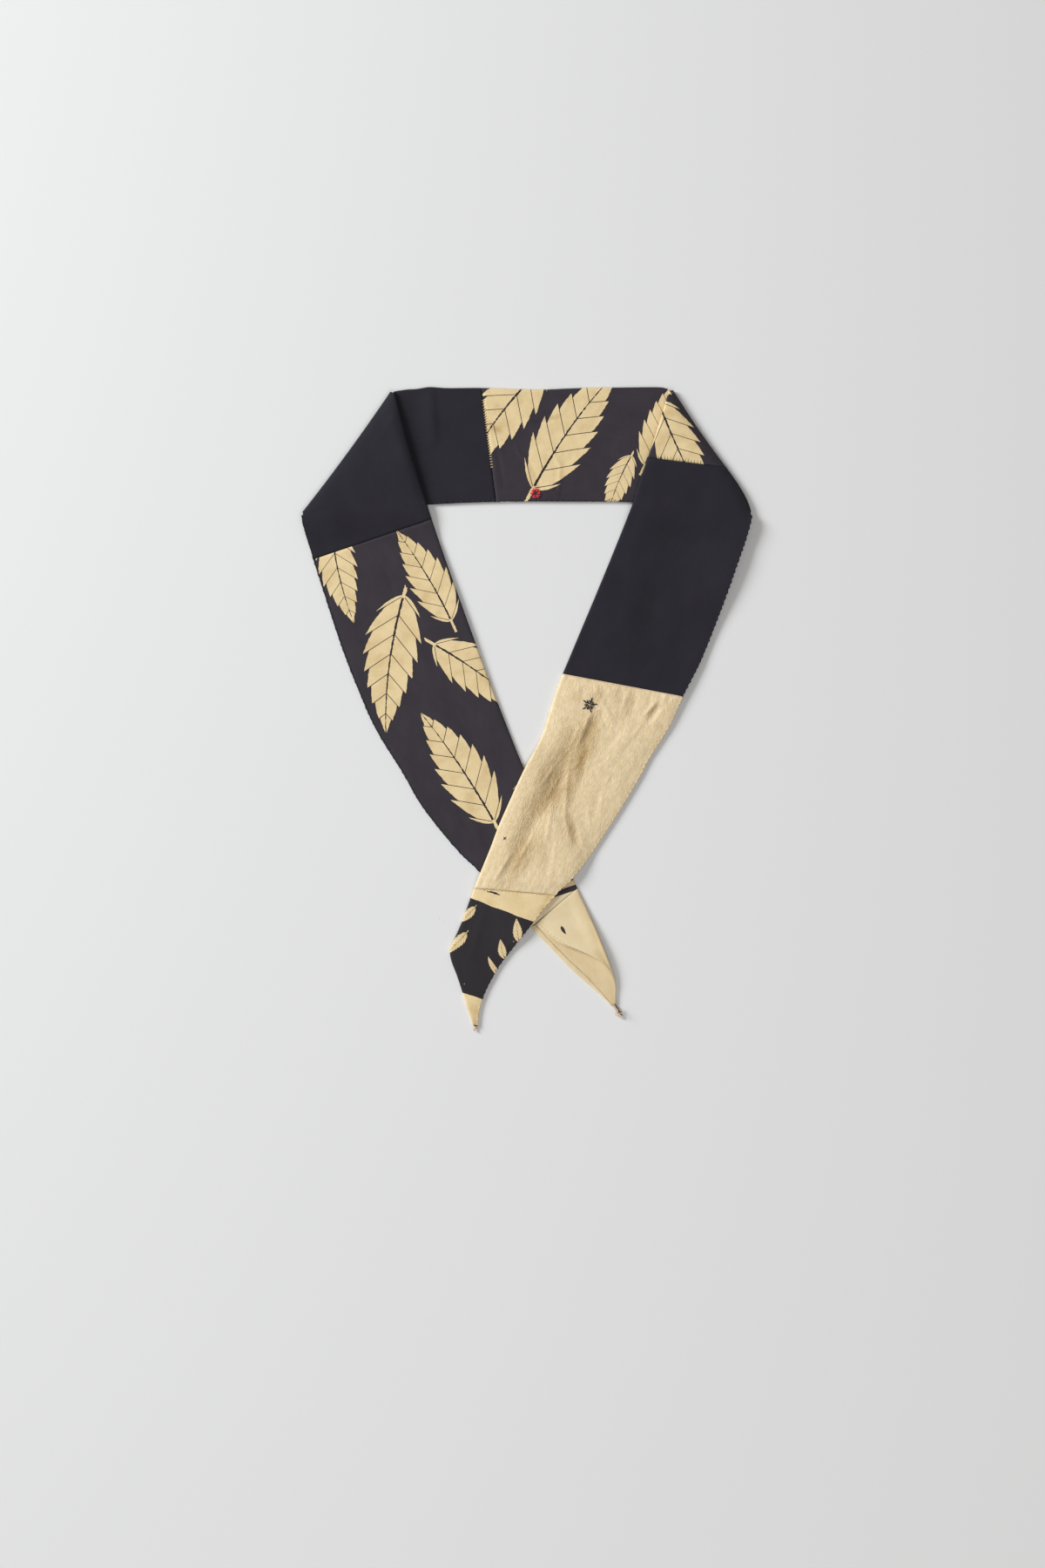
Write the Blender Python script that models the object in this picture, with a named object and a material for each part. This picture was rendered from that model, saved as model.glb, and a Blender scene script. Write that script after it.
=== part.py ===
# A bandana made as a patchwork strip, laid flat as a neck loop.
# The strip is a flat tube of cloth: a soft fold on one long edge, a hand-sewn seam on the other.
# The middle is a level band, the strip turns over at both upper corners, and the two legs cross.
# Metres, +Z up. The origin is on the table under the middle of the whole outline.

import math
from collections import namedtuple

import bpy
from mathutils import Vector

MM = 0.001

# Driving dimensions, in millimetres
CLOTH = 2.2            # both layers of the strip with the seam allowances between them
CROWN = 0.15           # how much higher the strip is along its middle
SEAM_GAP = 0.3         # space between neighbouring panels, and between cloth that lies on cloth
FOLD_ROUND = 1.5       # how far the soft edge rounds in
SEAM_GROOVE = 1.3      # depth of the groove between the two layers at the sewn edge
GROOVE_HALF = 0.2      # half the width of that groove where it opens
EDGE_IN = 0.3          # how far each layer's sewn edge is cut back, and how far down
EDGE_DOWN = 0.35
CORNER_EDGE = 1.2      # the least cloth left on either side of a corner fold in one section
EDGE_WIDENS = 0.7      # how fast that grows away from the corner, as a share of the distance
SINGLE = 1.0           # one layer of the end panel
SLOT = 0.25            # space between its two layers where they are open
FLAP_SETBACK = 0.6     # the least distance from the open layer's edge to the hem
FLAP_EDGE = 0.2        # how far that edge is cut back on top
SLOT_SHARE = 0.45      # how much of the panel's width is open, as a share
SLOT_LEAST = 0.5
HEM = 1.3              # the turned hem along its edge
HEM_EDGE = 0.2         # how far the hem rounds in at each side, as a share of its width
TIE_FLAT = 0.75        # height of a thread binding over its width
TIE_END = 0.62         # how thick it is at its ends, as a share
TIE_WIND = 0.18        # how deep it draws in between two turns, as a share
TIE_SECTIONS = 4       # sections in each turn
CREASE_EDGE = 6.0      # how far in from a panel's edges its creases reach their full height

MIDDLE = Vector((0.2, -0.42, 0.0))     # middle of the laid outline, in the plan of the tables below

HALF = CLOTH / 2
GAP_SIDE = SEAM_GAP / 2
UPPER = CLOTH + CROWN + SEAM_GAP        # height of the underside of cloth that lies on cloth
TURN = UPPER / 2                        # radius of the middle of the cloth round a corner fold

Arc = namedtuple("Arc", "length turn")
Rim = namedtuple("Rim", "along inner outer")
Line = namedtuple("Line", "x y")
Crease = namedtuple("Crease", "x0 y0 x1 y1 width rise")
Corner = namedtuple("Corner", "apex tip side bow bow_place reach")
Flap = namedtuple("Flap", "along edge hem")
Join = namedtuple("Join", "inner outer")
Tie = namedtuple("Tie", "start end radius turns")

# One place in a section: where the cloth's middle is, which way its face looks, what is near it
Place = namedtuple("Place", "point middle angle soft crown")

# The band between the corners: its soft top edge and its sewn bottom edge, in the plan
BAND_TOP = [
    Line(-110.0, 254.0),
    Line(-96.0, 255.6),
    Line(-78.0, 257.9),
    Line(-64.0, 257.1),
    Line(-36.0, 257.2),
    Line(7.0, 255.8),
    Line(40.0, 257.0),
    Line(85.0, 257.4),
    Line(118.0, 256.3),
]
BAND_BOTTOM = [
    Line(-182.0, 154.0),
    Line(-150.0, 157.5),
    Line(-80.0, 163.4),
    Line(-24.0, 165.8),
    Line(32.0, 166.0),
    Line(86.0, 165.3),
    Line(140.0, 160.0),
    Line(180.0, 156.0),
]

# The corner folds run from the apex on the soft edge to the tip on the sewn edge
LEFT = Corner(Vector((-106.2, 254.2)), Vector((-179.0, 154.7)), -1, -1.2, 1, 73.6)
RIGHT = Corner(Vector((114.6, 255.6)), Vector((178.8, 155.2)), 1, 3.4, 4, 73.5)

# Each leg is a run of arcs from its apex. Its rims are offsets from that line, in millimetres.
LEFT_START = 17.1      # degrees from straight down, towards +X
RIGHT_START = -19.5
LEFT_ARCS = [Arc(73, 0), Arc(345, 6.6), Arc(200, 0)]
RIGHT_ARCS = [Arc(73, 0), Arc(255, -5.1), Arc(150, 4.5), Arc(150, 0)]

LEFT_RIMS = [
    Rim(0, 0.0, 98.0),
    Rim(40, 1.4, 98.2),
    Rim(74, 1.6, 100.2),
    Rim(80, 1.6, 101.4),
    Rim(107, 1.5, 101.8),
    Rim(135, 1.2, 102.0),
    Rim(185, 0.4, 102.4),
    Rim(222, 0.2, 101.1),
    Rim(243, 0.2, 99.7),
    Rim(259, 0.1, 97.4),
    Rim(275, 0.0, 94.0),
    Rim(290, -0.1, 91.1),
    Rim(314, -0.3, 87.6),
    Rim(338, -0.8, 81.2),
    Rim(364, -1.4, 72.4),
    Rim(382, -1.8, 64.4),
    Rim(425, -2.6, 49.3),
    Rim(444, -3.0, 42.8),
    Rim(463, -3.1, 35.6),
    Rim(481, -2.6, 29.0),
    Rim(500, -1.7, 20.5),
    Rim(509, -0.1, 16.2),
    Rim(516, 3.0, 13.2),
    Rim(523, 6.0, 10.5),
]

RIGHT_RIMS = [
    Rim(0, 0.0, 92.0),
    Rim(40, 1.8, 92.6),
    Rim(72, 2.0, 95.9),
    Rim(78, 2.2, 97.1),
    Rim(92, 2.9, 98.2),
    Rim(107, 2.8, 98.4),
    Rim(142, 2.0, 99.2),
    Rim(193, 1.0, 99.2),
    Rim(208, 0.8, 97.9),
    Rim(224, 0.7, 96.6),
    Rim(246, 0.7, 96.2),
    Rim(261, 1.3, 94.2),
    Rim(277, 3.1, 91.4),
    Rim(292, 4.7, 90.4),
    Rim(305, 4.9, 89.0),
    Rim(324, 3.2, 86.6),
    Rim(358, 2.9, 81.6),
    Rim(376, 2.8, 78.1),
    Rim(395, 3.6, 72.8),
    Rim(405, 3.6, 68.2),
    Rim(420, 3.6, 63.2),
    Rim(438, 3.8, 57.9),
    Rim(457, 4.2, 52.2),
    Rim(474, 3.4, 46.9),
    Rim(483, 3.0, 44.4),
    Rim(491, 7.0, 43.1),
    Rim(501, 15.6, 41.6),
    Rim(513, 25.0, 41.2),
    Rim(521, 31.2, 41.9),
    Rim(528, 36.9, 43.5),
    Rim(533.5, 41.2, 45.0),
]

# The end panel of the left leg: edge of its open upper layer and the line of its hem
TAIL_LINES = [
    Flap(426, 41.5, 45.2),
    Flap(438, 39.6, 40.4),
    Flap(446, 36.7, 37.3),
    Flap(454, 32.2, 34.6),
    Flap(463, 26.2, 31.2),
    Flap(476, 14.3, 26.2),
    Flap(486, 6.4, 21.8),
    Flap(495, 1.8, 18.2),
    Flap(503, 0.3, 15.4),
    Flap(510, 1.6, 13.1),
    Flap(517, 4.9, 10.9),
    Flap(523, 7.2, 8.9),
]

# Panel joins, as places along the soft rim and the sewn rim, measured from the corner's apex
JOIN_BAND = Join(-70.2, -82.0)
JOIN_BAND_FROM_RIGHT = Join(-150.6, -138.8)
JOIN_LEFT_LEG = Join(107.0, 108.5)
JOIN_LEFT_TAIL = Join(426.0, 439.0)
JOIN_RIGHT_BAND = Join(57.5, 40.5)
JOIN_RIGHT_SILK = Join(243.5, 223.5)
JOIN_RIGHT_TIP = Join(430.0, 410.5)
LEFT_END = Join(523.0, 523.0)
RIGHT_END = Join(533.5, 533.5)

# Sections round the corners, each with the number of steps that lead to it. They lie closest where
# the fold starts, at join 0, and where it ends, at the corner's reach.
LEFT_CORNER = [
    (Join(-12, -12), 3),
    (Join(0, 0), 1),
    (Join(2.4, 2.4), 1),
    (Join(7, 7), 1),
    (Join(66, 66), 7),
    (Join(71.2, 71.2), 1),
    (Join(73.7, 73.7), 1),
    (Join(80, 80), 1),
]
RIGHT_CORNER_BEFORE = [
    (Join(-14, -12), 9),
    (Join(0, 0), 1),
    (Join(1.2, 1.0), 1),
    (Join(5, 4), 1),
]
RIGHT_CORNER_AFTER = [
    (Join(77, 68.5), 5),
    (Join(78.6, 72.4), 1),
    (Join(79.4, 73.7), 1),
    (Join(96, 92), 2),
]

# The thread bindings at the two points: where they start and end on their leg, thickness and turns
LEFT_TIE = Tie((523.4, 8.1), (533.6, 6.8), 1.9, 4)
RIGHT_TIE = Tie((533.9, 43.0), (537.0, 43.9), 1.4, 2)

# Soft creases that stand up or sink in the silk panel, in the plan
SILK_CREASES = [
    Crease(47.0, -12.0, 21.0, -47.0, 6.5, -0.75),
    Crease(21.0, -47.0, 4.0, -89.0, 7.5, -0.85),
    Crease(4.0, -89.0, -10.0, -117.0, 6.0, -0.55),
    Crease(58.0, 0.0, 40.0, -26.0, 4.5, 0.7),
    Crease(36.0, -38.0, 33.0, -72.0, 4.5, 0.75),
    Crease(33.0, -72.0, 35.0, -103.0, 4.0, 0.5),
    Crease(54.0, -40.0, 58.0, -84.0, 6.0, -0.5),
    Crease(93.0, 7.0, 105.0, -5.0, 4.0, 0.55),
    Crease(83.0, -24.0, 70.0, -62.0, 5.0, 0.45),
    Crease(10.0, -50.0, -14.0, -104.0, 5.0, 0.5),
    Crease(12.0, -96.0, 4.0, -140.0, 5.0, 0.45),
    Crease(-6.0, -118.0, -20.0, -142.0, 4.5, 0.4),
]

# How far cloth takes to come down from the cloth under it
EASE_BAND = 30.0
EASE_CROSSING = 26.0
CROSSING_MARGIN = 1.5
CROSSING_ALONG = 385.0

# Outer edge of the right leg and soft edge of the left leg stand a little off the table
RIGHT_RAISE = 3.6
RIGHT_RAISE_RUN = (74.0, 140.0, 262.0)
LEFT_RAISE = 1.2
LEFT_RAISE_RUN = (90.0, 190.0, 300.0)
FLAP_CURL = 0.9
FLAP_CURL_RUN = (446.0, 474.0, 512.0)

ACROSS = 11            # faces across a plain panel
ACROSS_SILK = 18
STEP = 12.0            # spacing of the sections along a leg
STEP_SILK = 6.5
CORNER_UP = 8          # faces across the upper and the lower cloth of a corner section
CORNER_BEND = 6
TAIL_FACES = 9
TIE_SIDES = 14


def smooth(table, key, column, at):
    """Value of a table's column at a place, with straight slopes taken from the rows around it."""
    rows = [(getattr(row, key), getattr(row, column)) for row in table]
    if at <= rows[0][0]:
        return rows[0][1]
    if at >= rows[-1][0]:
        return rows[-1][1]
    i = max(k for k in range(len(rows) - 1) if rows[k][0] <= at)
    (x0, y0), (x1, y1) = rows[i], rows[i + 1]
    before = rows[i - 1] if i > 0 else rows[i]
    after = rows[i + 2] if i + 2 < len(rows) else rows[i + 1]
    width = x1 - x0
    slope0 = (y1 - before[1]) / (x1 - before[0])
    slope1 = (after[1] - y0) / (after[0] - x0)
    u = (at - x0) / width
    h00 = (1 + 2 * u) * (1 - u) ** 2
    h10 = u * (1 - u) ** 2
    h01 = u * u * (3 - 2 * u)
    h11 = u * u * (u - 1)
    return h00 * y0 + h10 * width * slope0 + h01 * y1 + h11 * width * slope1


def ease(u):
    """Runs smoothly from 0 to 1."""
    u = min(max(u, 0.0), 1.0)
    return u * u * (3 - 2 * u)


def bump(at, run):
    """Rises and falls again over a run given by its start, top and end."""
    start, top, end = run
    if at < top:
        return ease((at - start) / (top - start))
    return ease((end - at) / (end - top))


def walk(start, heading, arcs, along):
    """Point at a distance along a run of arcs, and the direction ahead there."""
    point = start.copy()
    angle = math.radians(heading)
    left = along
    for arc in arcs:
        run = min(left, arc.length)
        turned = math.radians(arc.turn) * run / arc.length
        chord = run * (math.sin(turned / 2) / (turned / 2) if abs(turned) > 1e-9 else 1.0)
        middle = angle + turned / 2
        point = point + chord * Vector((math.sin(middle), -math.cos(middle)))
        angle += turned
        left -= run
        if left <= 0:
            break
    return point, Vector((math.sin(angle), -math.cos(angle)))


class Leg:
    """One leg of the loop, from its corner's apex down to its point."""

    def __init__(self, corner, heading, arcs, rims):
        self.corner = corner
        self.heading = heading
        self.arcs = arcs
        self.rims = rims

    def at(self, along, offset):
        """Point in the plan, a distance along the leg and an offset out from its line."""
        point, ahead = walk(self.corner.apex, self.heading, self.arcs, along)
        out = Vector((-ahead.y, ahead.x)) * self.corner.side
        return point + out * offset

    def inner(self, along):
        return self.at(along, smooth(self.rims, "along", "inner", along))

    def outer(self, along):
        return self.at(along, smooth(self.rims, "along", "outer", along))


LEFT_LEG = Leg(LEFT, LEFT_START, LEFT_ARCS, LEFT_RIMS)
RIGHT_LEG = Leg(RIGHT, RIGHT_START, RIGHT_ARCS, RIGHT_RIMS)


def band_drop(point):
    """How far a point lies below the band's sewn edge; less than 0 on the band."""
    return smooth(BAND_BOTTOM, "x", "y", point.x) - point.y


def beyond_left_leg(point):
    """How far a point near the crossing lies outside the left leg."""
    origin, ahead = walk(LEFT.apex, LEFT_START, LEFT_ARCS, CROSSING_ALONG)
    out = Vector((-ahead.y, ahead.x)) * LEFT.side
    away = point - origin
    along = CROSSING_ALONG + away.dot(ahead)
    offset = away.dot(out)
    inner = smooth(LEFT_RIMS, "along", "inner", along)
    outer = smooth(LEFT_RIMS, "along", "outer", along)
    return max(inner - offset, offset - outer) - CROSSING_MARGIN


def left_height(point, along, share):
    """Height of the underside of the left leg."""
    over_band = UPPER * (1 - ease(band_drop(point) / EASE_BAND))
    raised = LEFT_RAISE * bump(along, LEFT_RAISE_RUN) * (1 - share) ** 3
    return over_band + raised


def right_height(point, along, share):
    """Height of the underside of the right leg."""
    over_band = UPPER * (1 - ease(band_drop(point) / EASE_BAND))
    over_leg = 0.0
    if along > 200:
        over_leg = UPPER * (1 - ease(beyond_left_leg(point) / EASE_CROSSING))
    raised = RIGHT_RAISE * bump(along, RIGHT_RAISE_RUN) * share ** 2.4
    return max(over_band, over_leg) + raised


def crease_rise(point, creases):
    """Sum of the soft creases at a point of the plan."""
    total = 0.0
    for crease in creases:
        start = Vector((crease.x0, crease.y0))
        run = Vector((crease.x1, crease.y1)) - start
        share = (point - start).dot(run) / run.length_squared
        near = start + run * min(max(share, 0.0), 1.0)
        total += crease.rise * math.exp(-((point - near).length / crease.width) ** 2)
    return total


def half_at(distance):
    """Half the cloth's thickness near the soft edge, where it rounds off."""
    u = min(distance / FOLD_ROUND, 1.0)
    return HALF * math.sqrt(max(1 - (1 - u) ** 2, 0.0))


def spread(length, faces):
    """Distances from the soft edge, closer together where it rounds."""
    near = min(FOLD_ROUND, length * 0.3)
    rest = [near + (length - near) * k / (faces - 3) for k in range(1, faces - 2)]
    return [0.0, near * 0.12, near * 0.4, near] + rest


def crowd(start, length, faces):
    """Distances evenly along a short stretch, without its first."""
    return [start + length * k / faces for k in range(1, faces + 1)]


def ring_of(places, outward, groove):
    """Closed section through the places: the face side, the sewn edge, then the back side."""
    face, back = [], []
    for place in places:
        half = half_at(place.soft)
        for side, ring in ((1, face), (-1, back)):
            offset = half * side
            if place.middle is None:
                spot = place.point + outward * (TURN - offset) * math.sin(place.angle)
                rise = HALF + TURN - (TURN - offset) * math.cos(place.angle)
            else:
                looks_up = side * math.cos(place.angle) > 0
                spot = place.point
                rise = place.middle + offset * math.cos(place.angle) + (place.crown if looks_up else 0.0)
            ring.append((spot.x, spot.y, rise))
    last = places[-1]
    across = (last.point - places[-2].point).normalized()
    up = math.cos(last.angle)
    steps = [
        (EDGE_IN, HALF),
        (0.0, HALF - EDGE_DOWN),
        (0.0, GROOVE_HALF),
        (groove, 0.0),
        (0.0, -GROOVE_HALF),
        (0.0, EDGE_DOWN - HALF),
        (EDGE_IN, -HALF),
    ]
    edge = []
    for inset, offset in steps:
        spot = last.point - across * inset
        edge.append((spot.x, spot.y, last.middle + offset * up))
    return face[:-1] + edge + list(reversed(back[1:-1]))


def flat_places(leg, height, join, distances, start, end, creases=(), fade=1.0):
    """Places straight across a leg."""
    length = (end - start).length
    places = []
    for distance in distances:
        share = distance / length
        point = start + (end - start) * share
        along = join.inner + (join.outer - join.inner) * share
        crown = CROWN * math.sin(math.pi * share)
        clear = ease(distance / CREASE_EDGE) * ease((length - distance) / CREASE_EDGE)
        crown += crease_rise(point, creases) * fade * clear
        places.append(Place(point, height(point, along, share) + HALF, 0.0, distance, crown))
    return places


def leg_ring(leg, height, join, faces, creases=(), fade=1.0):
    """Section of a leg below its corner."""
    start, end = leg.inner(join.inner), leg.outer(join.outer)
    length = (end - start).length
    places = flat_places(leg, height, join, spread(length, faces), start, end, creases, fade)
    return ring_of(places, None, min(SEAM_GROOVE, length * 0.25))


def corner_ring(leg, height, join):
    """Section of a strip at a corner: on the band, on the leg, or over the fold between them."""
    corner = leg.corner
    fold = corner.tip - corner.apex
    outward = Vector((-fold.y, fold.x)).normalized() * corner.side
    crossing = join.inner / (corner.reach - join.outer + join.inner)
    tight = CORNER_UP + CORNER_BEND
    if crossing <= 0:
        start, end = band_edges(corner, join)
        length = (end - start).length
        edge = min(CORNER_EDGE - EDGE_WIDENS * join.inner, length / 2)
        distances = [0.0] + crowd(0.0, edge, tight) + crowd(edge, length - edge, CORNER_UP)
        places = []
        for distance in distances:
            share = distance / length
            crown = CROWN * math.sin(math.pi * share)
            places.append(Place(start + (end - start) * share, HALF, 0.0, distance, crown))
        return ring_of(places, outward, SEAM_GROOVE)
    if crossing >= 1:
        start, end = leg.inner(join.inner), leg.outer(join.outer)
        length = (end - start).length
        edge = min(CORNER_EDGE + EDGE_WIDENS * (join.outer - corner.reach), length / 2)
        distances = spread(length - edge, CORNER_UP) + crowd(length - edge, edge, tight)
        places = flat_places(leg, height, join, distances, start, end)
        places = [place._replace(angle=math.pi) for place in places]
        return ring_of(places, outward, min(SEAM_GROOVE, edge * 0.7))
    bulge = corner.bow * bow_shape(crossing, corner.bow_place)
    turn_at = corner.apex + fold * crossing + outward * bulge
    start, end = leg.inner(join.inner), band_edges(corner, join)[1]
    up, low = (turn_at - start).length, (end - turn_at).length
    places = []
    for distance in spread(up, CORNER_UP):
        crown = CROWN * math.sin(math.pi * distance / up)
        point = start + (turn_at - start) * (distance / up)
        places.append(Place(point, UPPER + HALF, math.pi, distance, crown))
    for k in range(1, CORNER_BEND):
        places.append(Place(turn_at, None, math.pi * (1 - k / CORNER_BEND), up, 0.0))
    for distance in [0.0] + crowd(0.0, low, CORNER_UP):
        crown = CROWN * math.sin(math.pi * distance / low)
        point = turn_at + (end - turn_at) * (distance / low)
        places.append(Place(point, HALF, 0.0, up + distance, crown))
    return ring_of(places, outward, min(SEAM_GROOVE, low * 0.6))


def bow_shape(share, place):
    """A curve from 0 to 1 and back to 0 whose top lies further along for a greater place."""
    top = place ** place / (place + 1) ** (place + 1)
    return share ** place * (1 - share) / top


def band_edges(corner, join):
    """Ends of a section on the band's side of a corner, in the plan."""
    squeeze = abs(corner.tip.x - corner.apex.x) / corner.reach
    inner_x = corner.apex.x + corner.side * join.inner
    outer_x = corner.apex.x + corner.side * join.outer * (squeeze if join.outer > 0 else 1.0)
    inner = Vector((inner_x, smooth(BAND_TOP, "x", "y", inner_x)))
    outer = Vector((outer_x, smooth(BAND_BOTTOM, "x", "y", outer_x)))
    return inner, outer


def between(first, last, count):
    """Joins evenly spaced from one to another, the first left out."""
    return [
        Join(
            first.inner + (last.inner - first.inner) * k / count,
            first.outer + (last.outer - first.outer) * k / count,
        )
        for k in range(1, count + 1)
    ]


def moved(join, distance):
    """The same join a little further along the strip."""
    return Join(join.inner + distance, join.outer + distance)


def route(stops):
    """Joins through a list of stops, each with the number of sections that lead to it."""
    joins = [stops[0][0]]
    for join, count in stops[1:]:
        joins += between(joins[-1], join, count)
    return joins


def lay(name, rings, color, roughness, breaks=()):
    """Joins closed sections into one closed piece. Its ends are flat faces, parted at the breaks."""
    count = len(rings[0])
    verts = [tuple((Vector(point) - MIDDLE) * MM) for ring in rings for point in ring]
    faces = []
    for i in range(len(rings) - 1):
        for j in range(count):
            k = (j + 1) % count
            faces.append((i * count + k, i * count + j, (i + 1) * count + j, (i + 1) * count + k))
    stops = [0] + list(breaks) + [None]
    for first, turned in ((0, False), (count * (len(rings) - 1), True)):
        for low, high in zip(stops[:-1], stops[1:]):
            if high is None:
                cap = list(range(low, count - low + 1))
            else:
                cap = list(range(low, high + 1)) + list(range(count - high, count - low + 1))
            cap = [first + j for j in cap if j < count]
            faces.append(tuple(reversed(cap)) if turned else tuple(cap))
    mesh = bpy.data.meshes.new(name)
    mesh.from_pydata(verts, [], faces)
    mesh.update()
    if signed_volume(mesh) < 0:
        mesh.flip_normals()
    mesh.shade_smooth()
    mesh.set_sharp_from_angle(angle=math.radians(50))
    piece = bpy.data.objects.new(name, mesh)
    piece.data.materials.append(finish(name, color, roughness))
    part_collection().objects.link(piece)
    return piece


def signed_volume(mesh):
    """Volume inside a mesh, less than 0 where its faces point in."""
    mesh.calc_loop_triangles()
    total = 0.0
    for triangle in mesh.loop_triangles:
        a, b, c = (mesh.vertices[i].co for i in triangle.vertices)
        total += a.dot(b.cross(c)) / 6
    return total


def finish(name, color, roughness):
    """Plain cloth or thread material."""
    material = bpy.data.materials.new(name + "_finish")
    material.use_nodes = True
    shader = material.node_tree.nodes["Principled BSDF"]
    shader.inputs["Base Color"].default_value = (*color, 1.0)
    shader.inputs["Roughness"].default_value = roughness
    shader.inputs["Metallic"].default_value = 0.0
    return material


def part_collection():
    """The collection that holds the bandana."""
    found = bpy.data.collections.get("bandana")
    if found is None:
        found = bpy.data.collections.new("bandana")
        bpy.context.scene.collection.children.link(found)
    return found


CORNER_BREAKS = (CORNER_UP, CORNER_UP + CORNER_BEND)
PLAIN_BLACK = (0.027, 0.024, 0.032)
PRINT_DARK = (0.046, 0.038, 0.044)
CREAM = (0.72, 0.58, 0.36)
THREAD = (0.66, 0.56, 0.42)


def make_band_left():
    """Plain panel: left part of the band, round the corner, top of the left leg."""
    joins = route([
        (moved(JOIN_BAND, GAP_SIDE), 1),
        *LEFT_CORNER,
        (moved(JOIN_LEFT_LEG, -GAP_SIDE), 3),
    ])
    rings = [corner_ring(LEFT_LEG, left_height, join) for join in joins]
    lay("band_left_plain", rings, PLAIN_BLACK, 0.85, CORNER_BREAKS)


def make_band_right():
    """Printed panel: middle and right part of the band, round the corner."""
    joins = route([
        (moved(JOIN_BAND_FROM_RIGHT, GAP_SIDE), 1),
        *RIGHT_CORNER_BEFORE,
        (moved(JOIN_RIGHT_BAND, -GAP_SIDE), 6),
    ])
    rings = [corner_ring(RIGHT_LEG, right_height, join) for join in joins]
    lay("band_right_print", rings, PRINT_DARK, 0.7, CORNER_BREAKS)


def make_leg_right_plain():
    """Plain panel of the right leg, from just round its corner."""
    joins = route([
        (moved(JOIN_RIGHT_BAND, GAP_SIDE), 1),
        *RIGHT_CORNER_AFTER,
        (moved(JOIN_RIGHT_SILK, -GAP_SIDE), 11),
    ])
    rings = [corner_ring(RIGHT_LEG, right_height, join) for join in joins]
    lay("leg_right_plain", rings, PLAIN_BLACK, 0.85, CORNER_BREAKS)


def leg_joins(first, last, step):
    """Joins down a leg from one seam to the next, clear of both."""
    count = max(2, round((last.inner + last.outer - first.inner - first.outer) / 2 / step))
    return [moved(first, GAP_SIDE)] + between(moved(first, GAP_SIDE), moved(last, -GAP_SIDE), count)


def make_leg_left_print():
    """Printed panel of the left leg, down to the crossing."""
    joins = leg_joins(JOIN_LEFT_LEG, JOIN_LEFT_TAIL, STEP)
    rings = [leg_ring(LEFT_LEG, left_height, join, ACROSS) for join in joins]
    lay("leg_left_print", rings, PRINT_DARK, 0.7)


def make_leg_right_silk():
    """Silk panel of the right leg, creased, over the left leg."""
    joins = leg_joins(JOIN_RIGHT_SILK, JOIN_RIGHT_TIP, STEP_SILK)
    rings = []
    for k, join in enumerate(joins):
        fade = ease(min(k, len(joins) - 1 - k) / 2)
        rings.append(leg_ring(RIGHT_LEG, right_height, join, ACROSS_SILK, SILK_CREASES, fade))
    lay("leg_right_silk", rings, CREAM, 0.45)


def make_tip_right_print():
    """Printed end panel of the right leg."""
    joins = leg_joins(JOIN_RIGHT_TIP, RIGHT_END, STEP * 0.6)
    rings = [leg_ring(RIGHT_LEG, right_height, join, ACROSS) for join in joins]
    lay("tip_right_print", rings, PRINT_DARK, 0.7)


def tail_ring(join):
    """Section of the left end panel: lower layer, and upper layer open on the sewn side."""
    edge_offset = smooth(TAIL_LINES, "along", "edge", join.outer)
    hem_offset = smooth(TAIL_LINES, "along", "hem", join.outer) - GAP_SIDE
    soft = LEFT_LEG.inner(join.inner)
    hem = LEFT_LEG.at(join.outer, hem_offset)
    width = (hem - soft).length
    across = (hem - soft) / width
    flap = width - max(hem_offset - edge_offset, FLAP_SETBACK)
    slot = max(flap * SLOT_SHARE, SLOT_LEAST)
    curl = FLAP_CURL * bump(join.outer, FLAP_CURL_RUN)
    ring = []

    def add(distance, height):
        spot = soft + across * distance
        ring.append((spot.x, spot.y, height))

    for distance in spread(flap - FLAP_EDGE, TAIL_FACES):
        add(distance, HALF + half_at(distance) + curl * ease(distance / flap) ** 2)
    add(flap, CLOTH - EDGE_DOWN + curl)
    add(flap, SINGLE + SLOT + curl)
    for k in range(1, 4):
        share = 1 - k / 3
        add(flap - slot * k / 3, SINGLE + SLOT + curl * share ** 2)
    for k in range(2, -1, -1):
        add(flap - slot * (k + 0.1) / 3, SINGLE)
    for k in range(1, 4):
        add(flap + (width - flap) * k / 3, SINGLE)
    add(width, 0.0)
    for distance in reversed(spread(width, TAIL_FACES)[1:-1]):
        add(distance, HALF - half_at(distance))
    return ring


def make_tail_left():
    """End panel of the left leg and the hem strip along its outer edge."""
    joins = leg_joins(JOIN_LEFT_TAIL, LEFT_END, STEP * 0.5)
    lay("tail_left_cream", [tail_ring(join) for join in joins], CREAM, 0.55)
    rings = []
    for join in joins:
        first = LEFT_LEG.at(join.outer, smooth(TAIL_LINES, "along", "hem", join.outer) + GAP_SIDE)
        last = LEFT_LEG.outer(join.outer)
        rings.append([
            (*first, 0.0),
            (*first, HEM - EDGE_IN),
            (*first.lerp(last, HEM_EDGE), HEM),
            (*last.lerp(first, HEM_EDGE), HEM),
            (*last, HEM - EDGE_IN),
            (*last, 0.0),
        ])
    lay("tail_left_hem", rings, CREAM, 0.55)


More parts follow.
